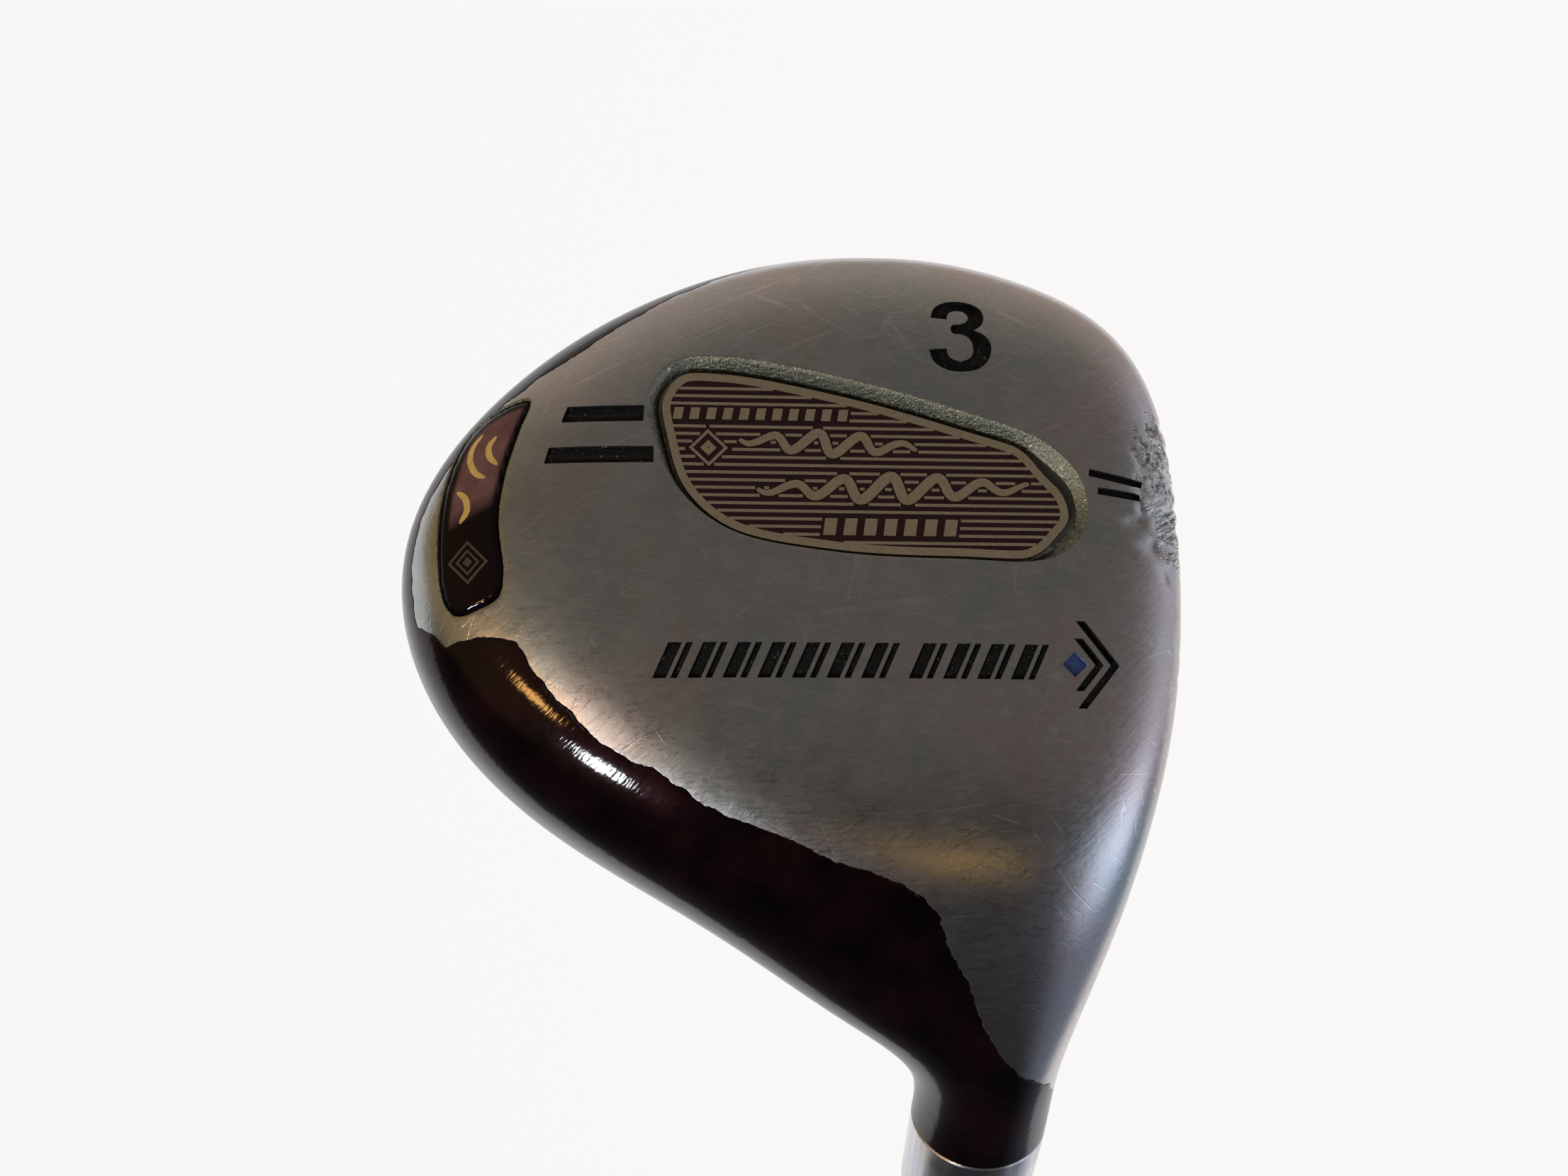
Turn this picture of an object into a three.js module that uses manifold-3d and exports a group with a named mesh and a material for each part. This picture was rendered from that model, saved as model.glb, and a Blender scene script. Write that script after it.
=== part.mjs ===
// A right-handed number 3 fairway wood: a hollow steel head, a bonded stepped steel shaft
// and a rubber grip.
//
// The part's frame, in millimetres: the origin is the centre of the grip's butt end, +Z runs
// along the shaft up to the head, and +X is the way the face looks. The toe points to +Y.
//
// The head is drawn in its own address frame, as it sits on the ground behind a ball: +X is
// the way the face looks, +Y points to the heel and +Z is up. Its origin is the point where
// the shaft axis meets the ground.

import * as THREE from 'three';
import { mergeVertices } from 'three/addons/utils/BufferGeometryUtils.js';
import Module from 'manifold-3d';

const wasm = await Module();
wasm.setup();

const { Manifold, Mesh: SolidMesh } = wasm;
const degrees = THREE.MathUtils.degToRad;

// ---------------------------------------------------------------- driving dimensions

const CLUB_LENGTH = 1092; // butt end to the ground point under the heel, along the shaft
const LIE = degrees(57);
const LOFT = degrees(15);
const GAP = 0.3; // between pieces that touch

// Shaft, as distances from the butt end.
const BUTT_RADIUS = 7.6;
const TIP_RADIUS = 4.25;
const TUBE_WALL = 0.42;
const STEP_COUNT = 15;
const STEP_FROM = 330;
const STEP_LENGTH = 42;
const SHAFT_FROM = 6;

// Distances along the shaft axis, up from the ground point.
const NECK_TOP = 46.04;
const NECK_FROM = 31;
const SPIGOT_BOTTOM = 17.3;
const BORE_BOTTOM = 18.4;
const TIP_BOTTOM = 18.8;

const SPIGOT_RADIUS = 5.7;
const BORE_RADIUS = 5.1;
const BOND = 0.25; // glue line on each side of the sleeve
const SLEEVE_WALL = 0.4;
const NECK_RADIUS = 7;
const FERRULE_LENGTH = 27;

const WALLS = { front: 2.5, back: 2.3, top: 1, sole: 2.6 };
const CAVITY = { from: 0.13, to: 0.8, rings: 22, around: 40 };
const FOAM = { from: 0.15, to: 0.77, rings: 16, around: 32 };
const FOAM_GAP = 0.5;
const REAR_WEIGHT = { size: [16, 26, 5], middle: [-44, -26, 6] };

// The crown meets the body on a plane that rises towards the face.
const PARTING_REAR = { x: -60, z: 16 };
const PARTING_TILT = degrees(13);

// The sole pocket's floor leans, so the pocket is deepest along its toe side.
const POCKET_FLOOR = { y: -25, z: 1.15, tilt: degrees(6.6) };
const SOLE_BADGE = { tape: [-0.35, -0.2], plate: [-0.9, -0.55] };

// The rear pocket follows the skirt. Depths are measured in from the skirt's surface.
const REAR_POCKET_DEPTH = 1.7;
const REAR_BADGE = { lens: [0.1, 0.7], plate: [0.85, 1.15], tape: [1.3, 1.5] };
const SLOT_DEPTH = 0.8;

const SHAFT_BAND = { from: 300, to: 312, thickness: 0.3 };
const TIP_WEIGHT_LENGTH = 25;
const TIP_PLUG_LENGTH = 8;

const GRIP_LENGTH = 265;
const GRIP_CAP = { radius: 14.2, height: 5, round: 1.6 };
const GRIP_RADII = { butt: 13.3, middle: 11.4, mouth: 8.9 };
const FIT = 0.15; // radial room between the shaft, the tape and the grip
const TAPE = { inner: BUTT_RADIUS + FIT, outer: BUTT_RADIUS + 0.4, from: 9, to: GRIP_LENGTH - 3 };

// ---------------------------------------------------------------- head form

// Stations from the toe (s = 0) to the top of the neck (s = 1). A section is drawn between a
// point of the sole profile and a point of the crown profile: front and back are its reach,
// ridge and keel are where the crown is highest and the sole lowest, nose and tail are the
// heights of the front and back edges as a share of the section, the powers say how square
// its four corners are, and lean is how far the face slopes back at its top.
const STATIONS = [
  // s   crownY crownZ soleY  soleZ front  back  ridge  keel  nose tail  powers sf tf tb sb  lean
  [0.00, -58.0, 13.5, -58.0, 13.5, -13.5, -13.5, -13.0, -13.0, 0.45, 0.50, 2.0, 2.0, 2.0, 2.0, 0.0],
  [0.10, -56.7, 20.5, -57.0, 7.0, -3.5, -25.5, -13.0, -13.5, 0.42, 0.50, 2.3, 2.2, 2.1, 2.3, 0.7],
  [0.20, -52.2, 26.5, -52.6, 3.2, 7.2, -38.0, -13.0, -15.5, 0.34, 0.48, 2.7, 2.5, 2.1, 2.5, 2.4],
  [0.33, -42.0, 31.5, -42.5, 1.0, 13.8, -51.8, -12.0, -17.5, 0.24, 0.44, 3.2, 3.0, 2.2, 2.8, 5.9],
  [0.47, -28.0, 34.8, -28.0, 0.2, 15.4, -60.0, -10.5, -18.0, 0.19, 0.42, 3.4, 3.4, 2.3, 3.0, 7.8],
  [0.60, -13.5, 36.0, -13.0, 0.2, 14.8, -57.0, -9.0, -15.0, 0.20, 0.43, 3.2, 3.2, 2.3, 2.8, 7.2],
  [0.72, -1.5, 35.6, 0.0, 1.5, 12.2, -45.0, -6.5, -10.0, 0.24, 0.45, 2.9, 2.8, 2.2, 2.5, 4.6],
  [0.82, 6.5, 35.2, 11.0, 7.0, 9.4, -29.0, -4.0, -5.0, 0.32, 0.47, 2.6, 2.4, 2.1, 2.2, 2.0],
  [0.90, 12.0, 36.6, 20.0, 16.5, 7.3, -16.2, -1.5, -1.5, 0.42, 0.49, 2.3, 2.2, 2.0, 2.1, 0.5],
  [0.96, 16.0, 39.0, 26.2, 26.2, 6.8, -8.0, 0.0, 0.0, 0.50, 0.50, 2.0, 2.0, 2.0, 2.0, 0.0],
  [1.00, 19.2, 42.4, 30.9, 34.8, 7.0, -7.0, 0.0, 0.0, 0.50, 0.50, 2.0, 2.0, 2.0, 2.0, 0.0],
];
const COLUMNS = [
  's', 'crownY', 'crownZ', 'soleY', 'soleZ', 'front', 'back', 'ridge', 'keel',
  'nose', 'tail', 'powSoleFront', 'powTopFront', 'powTopBack', 'powSoleBack', 'lean',
];

// Slopes at the toe and at the neck, where the profiles run along the shaft axis. A column
// without a start slope starts free, and one without an end slope ends level.
const CROWN_RUN = 78;
const SOLE_RUN = 190;
const START_SLOPES = { crownY: 0, soleY: 0 };
const END_SLOPES = {
  crownY: Math.cos(LIE) * CROWN_RUN, crownZ: Math.sin(LIE) * CROWN_RUN,
  soleY: Math.cos(LIE) * SOLE_RUN, soleZ: Math.sin(LIE) * SOLE_RUN,
};

// Solves a small dense system by elimination with row exchange.
function solve(matrix, right) {
  const n = right.length;
  const rows = matrix.map((row, i) => [...row, right[i]]);
  for (let i = 0; i < n; i++) {
    let best = i;
    for (let k = i + 1; k < n; k++) if (Math.abs(rows[k][i]) > Math.abs(rows[best][i])) best = k;
    [rows[i], rows[best]] = [rows[best], rows[i]];
    for (let k = i + 1; k < n; k++) {
      const factor = rows[k][i] / rows[i][i];
      for (let j = i; j <= n; j++) rows[k][j] -= factor * rows[i][j];
    }
  }
  const out = new Array(n).fill(0);
  for (let i = n - 1; i >= 0; i--) {
    let sum = rows[i][n];
    for (let j = i + 1; j < n; j++) sum -= rows[i][j] * out[j];
    out[i] = sum / rows[i][i];
  }
  return out;
}

// A cubic spline through the points, as a function. An undefined slope leaves that end free.
function cubicSpline(x, y, startSlope, endSlope) {
  const n = x.length;
  const h = x.slice(1).map((value, i) => value - x[i]);
  const rise = h.map((width, i) => (y[i + 1] - y[i]) / width);
  const matrix = x.map(() => new Array(n).fill(0));
  const right = new Array(n).fill(0);
  for (let i = 1; i < n - 1; i++) {
    matrix[i][i - 1] = h[i - 1];
    matrix[i][i] = 2 * (h[i - 1] + h[i]);
    matrix[i][i + 1] = h[i];
    right[i] = 6 * (rise[i] - rise[i - 1]);
  }
  matrix[0][0] = startSlope === undefined ? 1 : 2 * h[0];
  if (startSlope !== undefined) {
    matrix[0][1] = h[0];
    right[0] = 6 * (rise[0] - startSlope);
  }
  matrix[n - 1][n - 1] = 2 * h[n - 2];
  matrix[n - 1][n - 2] = h[n - 2];
  right[n - 1] = 6 * (endSlope - rise[n - 2]);
  const bend = solve(matrix, right);
  return (at) => {
    let i = 0;
    while (i < n - 2 && at > x[i + 1]) i++;
    const a = (x[i + 1] - at) / h[i];
    const b = (at - x[i]) / h[i];
    const bow = ((a ** 3 - a) * bend[i] + (b ** 3 - b) * bend[i + 1]) * h[i] ** 2 / 6;
    return a * y[i] + b * y[i + 1] + bow;
  };
}

const stationSplines = COLUMNS.slice(1).map((name, k) => [name, cubicSpline(
  STATIONS.map((row) => row[0]), STATIONS.map((row) => row[k + 1]),
  START_SLOPES[name], END_SLOPES[name] ?? 0,
)]);

// The section at s, drawn in by the inset's four depths.
function sectionAt(s, inset) {
  const c = Object.fromEntries(stationSplines.map(([name, spline]) => [name, spline(s)]));
  const crown = new THREE.Vector2(c.crownY, c.crownZ);
  const sole = new THREE.Vector2(c.soleY, c.soleZ);
  const up = crown.clone().sub(sole).normalize();
  c.crown = crown.addScaledVector(up, -inset.top);
  c.sole = sole.addScaledVector(up, inset.sole);
  c.front -= inset.front;
  c.back += inset.back;
  return c;
}

// The point of a section at an angle: 0 is the front, a quarter turn is the crown.
function sectionPoint(c, angle) {
  const cos = Math.cos(angle);
  const sin = Math.sin(angle);
  const onTop = sin >= 0;
  const inFront = cos >= 0;
  const powers = onTop ? [c.powTopBack, c.powTopFront] : [c.powSoleBack, c.powSoleFront];
  const power = powers[inFront ? 1 : 0];
  const reach = (Math.abs(cos) ** power + Math.abs(sin) ** power) ** (-1 / power);
  const middle = onTop ? c.ridge : c.keel;
  const half = inFront ? c.front - middle : middle - c.back;
  const level = inFront ? c.nose : c.tail;
  const height = level + (onTop ? 1 - level : level) * reach * sin;
  const share = THREE.MathUtils.smoothstep(middle + half * reach * cos, c.ridge, c.front);
  const lean = c.lean * Math.max(0, (height - level) / (1 - level)) * share;
  const profile = c.sole.clone().lerp(c.crown, height);
  return new THREE.Vector3(middle + half * reach * cos - lean, profile.x, profile.y);
}

// ---------------------------------------------------------------- solids

function solidFromArrays(points, triangles) {
  const vertProperties = new Float32Array(points.flatMap((p) => [p.x, p.y, p.z]));
  return new Manifold(new SolidMesh({ numProp: 3, vertProperties, triVerts: new Uint32Array(triangles) }));
}

function solidFromGeometry(geometry) {
  geometry.deleteAttribute('normal');
  geometry.deleteAttribute('uv');
  const merged = mergeVertices(geometry, 1e-4);
  const vertProperties = new Float32Array(merged.attributes.position.array);
  const triVerts = new Uint32Array(merged.index.array);
  return new Manifold(new SolidMesh({ numProp: 3, vertProperties, triVerts }));
}

// Cuts leave slivers, which are merged before the solid becomes a mesh.
const SLIVER = 0.01;
function geometryFromSolid(solid) {
  const mesh = solid.simplify(SLIVER).getMesh();
  const geometry = new THREE.BufferGeometry();
  geometry.setAttribute('position', new THREE.BufferAttribute(mesh.vertProperties, 3));
  geometry.setIndex(new THREE.BufferAttribute(mesh.triVerts, 1));
  geometry.computeVertexNormals();
  return geometry;
}

const NO_INSET = { front: 0, back: 0, top: 0, sole: 0 };
const evenInset = (depth) => ({ front: depth, back: depth, top: depth, sole: depth });
const moreInset = (inset, extra) => Object.fromEntries(
  Object.entries(inset).map(([side, depth]) => [side, depth + extra]),
);

// The head's form between two stations, closed by a flat fan at each end.
const TOE_CAP = 0.012;
function loftSolid({ from = TOE_CAP, to = 1, inset = NO_INSET, rings = 30, around = 44 }) {
  const points = [];
  const triangles = [];
  for (let i = 0; i <= rings; i++) {
    const section = sectionAt(THREE.MathUtils.lerp(from, to, i / rings), inset);
    for (let j = 0; j < around; j++) points.push(sectionPoint(section, j / around * 2 * Math.PI));
  }
  for (let i = 0; i < rings; i++) {
    for (let j = 0; j < around; j++) {
      const a = i * around + j;
      const b = i * around + (j + 1) % around;
      triangles.push(a, a + around, b, b, a + around, b + around);
    }
  }
  for (const end of [0, rings]) {
    const ring = points.slice(end * around, (end + 1) * around);
    const centre = new THREE.Vector3();
    ring.forEach((p) => centre.addScaledVector(p, 1 / around));
    const hub = points.push(centre) - 1;
    for (let j = 0; j < around; j++) {
      const a = end * around + j;
      const b = end * around + (j + 1) % around;
      if (end === 0) triangles.push(hub, a, b);
      else triangles.push(hub, b, a);
    }
  }
  return solidFromArrays(points, triangles);
}

// The head's form drawn in by a depth all round.
const LAYER_FROM = 0.04;
function layerSolid(depth) {
  return loftSolid({ from: LAYER_FROM, inset: evenInset(depth) });
}

const shaftAxis = new THREE.Vector3(0, Math.cos(LIE), Math.sin(LIE));
const CUTTER_SIZE = 400;

// How far blocks and bars run past the wall that they cut.
const OVERRUN = 8;
const FACE_OVERRUN = 30;

// All space on the near side of a plane, as a large block.
function halfSpace(point, outward) {
  const geometry = new THREE.BoxGeometry(CUTTER_SIZE, CUTTER_SIZE, CUTTER_SIZE);
  geometry.translate(0, 0, -CUTTER_SIZE / 2);
  const turn = new THREE.Quaternion().setFromUnitVectors(new THREE.Vector3(0, 0, 1), outward);
  geometry.applyQuaternion(turn);
  geometry.translate(point.x, point.y, point.z);
  return solidFromGeometry(geometry);
}

// A round bar on the shaft axis between two distances from the ground point.
function axisBar(radius, from, to) {
  const geometry = new THREE.CylinderGeometry(radius, radius, to - from, 28);
  const turn = new THREE.Quaternion().setFromUnitVectors(new THREE.Vector3(0, 1, 0), shaftAxis);
  geometry.applyQuaternion(turn);
  const middle = shaftAxis.clone().multiplyScalar((from + to) / 2);
  geometry.translate(middle.x, middle.y, middle.z);
  return solidFromGeometry(geometry);
}

// An outline pushed along its frame's third axis between two depths.
function prism(outline, frame, from, to) {
  const shape = new THREE.Shape(outline);
  const geometry = new THREE.ExtrudeGeometry(shape, { depth: to - from, bevelEnabled: false });
  geometry.translate(0, 0, from);
  geometry.applyMatrix4(frame);
  return solidFromGeometry(geometry);
}

// A closed smooth outline through hand-placed points.
function smoothOutline(corners, count) {
  const curve = new THREE.CatmullRomCurve3(
    corners.map(([x, y]) => new THREE.Vector3(x, y, 0)), true, 'centripetal',
  );
  const outline = curve.getPoints(count).slice(0, -1).map((p) => new THREE.Vector2(p.x, p.y));
  return THREE.ShapeUtils.isClockWise(outline) ? outline.reverse() : outline;
}

// Moves every point of a counterclockwise outline in by a distance.
function shrinkOutline(outline, distance) {
  const n = outline.length;
  return outline.map((p, i) => {
    const along = outline[(i + 1) % n].clone().sub(outline[(i + n - 1) % n]).normalize();
    return new THREE.Vector2(p.x - along.y * distance, p.y + along.x * distance);
  });
}

function frameAt(origin, xAxis, yAxis, zAxis) {
  return new THREE.Matrix4().makeBasis(xAxis, yAxis, zAxis).setPosition(origin);
}

// ---------------------------------------------------------------- pockets and marks

// Sole pocket outline, seen in plan.
const SOLE_POCKET = [
  [-37, -41], [-34.5, -44.5], [-30, -44.9], [-19, -43], [-7, -39.7], [1.5, -36.6],
  [4.8, -33], [5.1, -28.6], [2, -25.5], [-8, -25.1], [-20, -25.7], [-29.5, -27.7],
  [-34.2, -31.5], [-36.3, -36],
];

function solePocketFrame() {
  const tilt = POCKET_FLOOR.tilt;
  return frameAt(
    new THREE.Vector3(0, POCKET_FLOOR.y, POCKET_FLOOR.z),
    new THREE.Vector3(1, 0, 0),
    new THREE.Vector3(0, Math.cos(tilt), -Math.sin(tilt)),
    new THREE.Vector3(0, Math.sin(tilt), Math.cos(tilt)),
  );
}

// Rear pocket outline in the plane that touches the skirt at its middle: the first number
// runs to the heel and the second down to the sole.
const REAR_POCKET = [
  [-11.2, 4.1], [-7.6, 3.7], [-3.2, 2.9], [1.5, 2.5], [6.5, 3], [8.8, 2.5], [9.9, 0.4],
  [10.3, -1.9], [9, -3.1], [3.2, -3.7], [-3.2, -3.4], [-8.2, -2.2], [-10.3, 0.2],
];
const REAR_MIDDLE = new THREE.Vector3(-53.5, -30.5, 5);
const REAR_NORMAL = new THREE.Vector3(-0.52, -0.14, -0.84).normalize();

function rearPocketFrame() {
  const alongHeel = new THREE.Vector3(0, 1, 0);
  alongHeel.addScaledVector(REAR_NORMAL, -alongHeel.dot(REAR_NORMAL)).normalize();
  const down = new THREE.Vector3().crossVectors(REAR_NORMAL, alongHeel);
  return frameAt(REAR_MIDDLE, alongHeel, down, REAR_NORMAL);
}

// The painted slots beside the sole pocket: centre, length and width seen in plan.
const SLOTS = [
  { x: -41.8, y: -39.3, length: 7.4, width: 1.4 },
  { x: -42.2, y: -35.4, length: 10, width: 1.4 },
  { x: 8.5, y: -33.5, length: 5.4, width: 0.6, turn: degrees(10) },
  { x: 8.8, y: -32, length: 4.4, width: 0.6, turn: degrees(7) },
];

function slotBar({ x, y, length, width, turn = 0 }) {
  const geometry = new THREE.BoxGeometry(length, width, 20);
  geometry.rotateZ(turn);
  geometry.translate(x, y, 0);
  return solidFromGeometry(geometry);
}

// Face plate outline in the face's own plane: the first number runs to the heel and the
// second up the face.
const FACE_PLATE = [
  [8, 9], [9, 17], [6, 24], [-6, 27], [-22, 27.5], [-36, 25], [-43, 20], [-45, 13], [-41, 8],
  [-30, 5.5], [-14, 5], [2, 6],
];
const FACE_FOOT = new THREE.Vector3(15.4, 0, 4);
const FACE_PLATE_BACK = -5.5;

function facePlateFrame() {
  return frameAt(
    FACE_FOOT,
    new THREE.Vector3(0, 1, 0),
    new THREE.Vector3(-Math.sin(LOFT), 0, Math.cos(LOFT)),
    new THREE.Vector3(Math.cos(LOFT), 0, Math.sin(LOFT)),
  );
}

// ---------------------------------------------------------------- head pieces

const neckPoint = (distance) => shaftAxis.clone().multiplyScalar(distance);

// The hollow head below the neck, with the socket for the neck's spigot.
function bodySolid(outer) {
  const cavity = loftSolid({ ...CAVITY, inset: WALLS });
  const belowNeck = halfSpace(neckPoint(NECK_FROM - GAP), shaftAxis);
  const socket = axisBar(SPIGOT_RADIUS + GAP, SPIGOT_BOTTOM - GAP, NECK_TOP);
  return outer.subtract(cavity).intersect(belowNeck).subtract(socket);
}

// The neck and its spigot, bored for the shaft.
function hoselSolid(outer) {
  const neck = outer.subtract(halfSpace(neckPoint(NECK_FROM), shaftAxis));
  const spigot = axisBar(SPIGOT_RADIUS, SPIGOT_BOTTOM, NECK_FROM + 2);
  const bore = axisBar(BORE_RADIUS, BORE_BOTTOM, NECK_TOP + OVERRUN);
  return neck.add(spigot).subtract(bore);
}

// Parts the face plate from the body.
function partFace(body) {
  const frame = facePlateFrame();
  const outline = smoothOutline(FACE_PLATE, 40);
  const block = prism(shrinkOutline(outline, GAP / 2), frame, FACE_PLATE_BACK, FACE_OVERRUN);
  const opening = prism(shrinkOutline(outline, -GAP / 2), frame, FACE_PLATE_BACK - OVERRUN, FACE_OVERRUN);
  return { plate: body.intersect(block), rest: body.subtract(opening) };
}

// Parts the crown from the sole side.
function partCrown(body) {
  const normal = new THREE.Vector3(-Math.sin(PARTING_TILT), 0, Math.cos(PARTING_TILT));
  const point = new THREE.Vector3(PARTING_REAR.x, 0, PARTING_REAR.z);
  const lift = normal.clone().multiplyScalar(GAP / 2);
  return {
    crown: body.subtract(halfSpace(point.clone().add(lift), normal)),
    sole: body.intersect(halfSpace(point.clone().sub(lift), normal)),
  };
}

// The sole pocket, and the badge and tape that lie on its floor.
function solePocketSolids() {
  const frame = solePocketFrame();
  const outline = smoothOutline(SOLE_POCKET.map(([x, y]) => [x, y - POCKET_FLOOR.y]), 48);
  return {
    pocket: prism(outline, frame, -OVERRUN, 0),
    badge: prism(shrinkOutline(outline, GAP), frame, ...SOLE_BADGE.plate),
    tape: prism(shrinkOutline(outline, 4 * GAP), frame, ...SOLE_BADGE.tape),
  };
}

// The rear pocket, and the layers in it, which all follow the skirt.
function rearPocketSolids() {
  const frame = rearPocketFrame();
  const outline = smoothOutline(REAR_POCKET, 36);
  const block = (inset) => prism(shrinkOutline(outline, inset), frame, -OVERRUN, OVERRUN);
  const layer = (inset, [top, bottom]) => (
    block(inset).intersect(layerSolid(top)).subtract(layerSolid(bottom))
  );
  return {
    pocket: block(0).subtract(layerSolid(REAR_POCKET_DEPTH)),
    lens: layer(GAP, REAR_BADGE.lens),
    plate: layer(GAP, REAR_BADGE.plate),
    tape: layer(3 * GAP, REAR_BADGE.tape),
  };
}

function slotCuts() {
  const bars = SLOTS.map(slotBar).reduce((all, bar) => all.add(bar));
  const soleSide = halfSpace(new THREE.Vector3(0, 0, OVERRUN), new THREE.Vector3(0, 0, 1));
  return bars.intersect(soleSide).subtract(layerSolid(SLOT_DEPTH));
}

// The rear weight and the foam around it, both inside the walls.
function fillSolids() {
  const inside = (gap) => loftSolid({ ...FOAM, inset: moreInset(WALLS, gap) });
  const padBlock = (room) => {
    const geometry = new THREE.BoxGeometry(...REAR_WEIGHT.size.map((side) => side + 2 * room));
    geometry.translate(...REAR_WEIGHT.middle);
    return solidFromGeometry(geometry);
  };
  const spigotRoom = axisBar(SPIGOT_RADIUS + 2 * GAP, SPIGOT_BOTTOM - 2 * GAP, NECK_TOP);
  return {
    weight: inside(GAP).intersect(padBlock(0)),
    foam: inside(FOAM_GAP).subtract(padBlock(GAP)).subtract(spigotRoom),
  };
}

function headSolids() {
  const outer = loftSolid({});
  const { plate, rest } = partFace(bodySolid(outer));
  const { crown, sole } = partCrown(rest);
  const soleSolids = solePocketSolids();
  const rearSolids = rearPocketSolids();
  const { weight, foam } = fillSolids();
  return {
    crown_shell: crown,
    sole_shell: sole.subtract(soleSolids.pocket).subtract(rearSolids.pocket).subtract(slotCuts()),
    face_plate: plate,
    hosel: hoselSolid(outer),
    sole_badge: soleSolids.badge,
    sole_badge_tape: soleSolids.tape,
    rear_badge_lens: rearSolids.lens,
    rear_badge_plate: rearSolids.plate,
    rear_badge_tape: rearSolids.tape,
    rear_weight: weight,
    foam_core: foam,
  };
}

// ---------------------------------------------------------------- shaft and grip

const LATHE_SEGMENTS = 20;

// A turned piece around the shaft axis, from outline points given as [radius, height].
function turned(profile, segments = LATHE_SEGMENTS) {
  const points = profile.map(([radius, height]) => new THREE.Vector2(radius, height));
  if (THREE.ShapeUtils.isClockWise(points)) points.reverse();
  if (points[0].x > 0) points.push(points[0].clone());
  const lathe = new THREE.LatheGeometry(points, segments);
  lathe.rotateX(Math.PI / 2);
  return geometryFromSolid(solidFromGeometry(lathe));
}

const shaftTop = CLUB_LENGTH - TIP_BOTTOM;
const neckTop = CLUB_LENGTH - NECK_TOP;
const stepDrop = (BUTT_RADIUS - TIP_RADIUS) / STEP_COUNT;

function shaftProfile() {
  const outside = [[BUTT_RADIUS, SHAFT_FROM]];
  for (let i = 0; i < STEP_COUNT; i++) {
    const at = STEP_FROM + i * STEP_LENGTH;
    outside.push([BUTT_RADIUS - i * stepDrop, at]);
    outside.push([BUTT_RADIUS - (i + 1) * stepDrop, at + 0.6]);
  }
  outside.push([TIP_RADIUS, shaftTop]);
  const inside = [
    [TIP_RADIUS - TUBE_WALL, shaftTop],
    [TIP_RADIUS - TUBE_WALL, STEP_FROM + STEP_COUNT * STEP_LENGTH],
    [BUTT_RADIUS - TUBE_WALL, STEP_FROM],
    [BUTT_RADIUS - TUBE_WALL, SHAFT_FROM],
  ];
  return [...outside, ...inside];
}

function shaftRadiusAt(height) {
  const steps = Math.ceil((height - STEP_FROM) / STEP_LENGTH);
  return BUTT_RADIUS - THREE.MathUtils.clamp(steps, 0, STEP_COUNT) * stepDrop;
}

// The ferrule's radius, by the distance down from the neck.
const FERRULE_TAPER = [[NECK_RADIUS, 0], [6.8, 10], [5.9, 20], [5, FERRULE_LENGTH]];

function ferruleProfile() {
  const base = neckTop - GAP;
  const inner = TIP_RADIUS + BOND;
  const outside = FERRULE_TAPER.map(([radius, down]) => [radius, base - down]);
  return [[inner, base], ...outside, [inner, base - FERRULE_LENGTH]];
}

function sleeveProfile() {
  const outer = BORE_RADIUS - BOND;
  const inner = outer - SLEEVE_WALL;
  return [[inner, neckTop], [outer, neckTop], [outer, shaftTop], [inner, shaftTop]];
}

function gripProfile() {
  const from = GRIP_CAP.height + GAP;
  const inner = TAPE.outer + FIT;
  return [
    [inner, from], [GRIP_RADII.butt, from], [GRIP_RADII.butt - 0.4, 40],
    [GRIP_RADII.middle, 120], [GRIP_RADII.mouth + 0.6, 230], [GRIP_RADII.mouth, GRIP_LENGTH - 2],
    [GRIP_RADII.mouth - 0.5, GRIP_LENGTH], [inner, GRIP_LENGTH],
  ];
}

const CAP_STEPS = 4;
function capProfile() {
  const { radius, height, round } = GRIP_CAP;
  const profile = [[0, 0]];
  for (let i = 0; i <= CAP_STEPS; i++) {
    const turn = i / CAP_STEPS * Math.PI / 2;
    profile.push([radius - round + round * Math.sin(turn), round - round * Math.cos(turn)]);
  }
  profile.push([GRIP_RADII.butt, height], [0, height]);
  return profile;
}

const ring = (inner, outer, from, to) => [[inner, from], [outer, from], [outer, to], [inner, to]];
const rod = (radius, from, to) => [[0, from], [radius, from], [radius, to], [0, to]];

function shaftGeometries() {
  const { from, to, thickness } = SHAFT_BAND;
  const bandInner = shaftRadiusAt(from) + FIT;
  const pinRadius = TIP_RADIUS - TUBE_WALL - GAP;
  const plugTop = shaftTop - 1;
  const weightTop = plugTop - TIP_PLUG_LENGTH - GAP;
  return {
    shaft: turned(shaftProfile()),
    hosel_sleeve: turned(sleeveProfile(), 24),
    ferrule: turned(ferruleProfile(), 28),
    tip_plug: turned(rod(pinRadius, plugTop - TIP_PLUG_LENGTH, plugTop), 16),
    tip_weight: turned(rod(pinRadius, weightTop - TIP_WEIGHT_LENGTH, weightTop), 16),
    shaft_band: turned(ring(bandInner, bandInner + thickness, from, to)),
    grip_tape: turned(ring(TAPE.inner, TAPE.outer, TAPE.from, TAPE.to)),
    grip_sleeve: turned(gripProfile(), 28),
    grip_cap: turned(capProfile(), 28),
  };
}

// ---------------------------------------------------------------- materials and assembly

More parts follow.
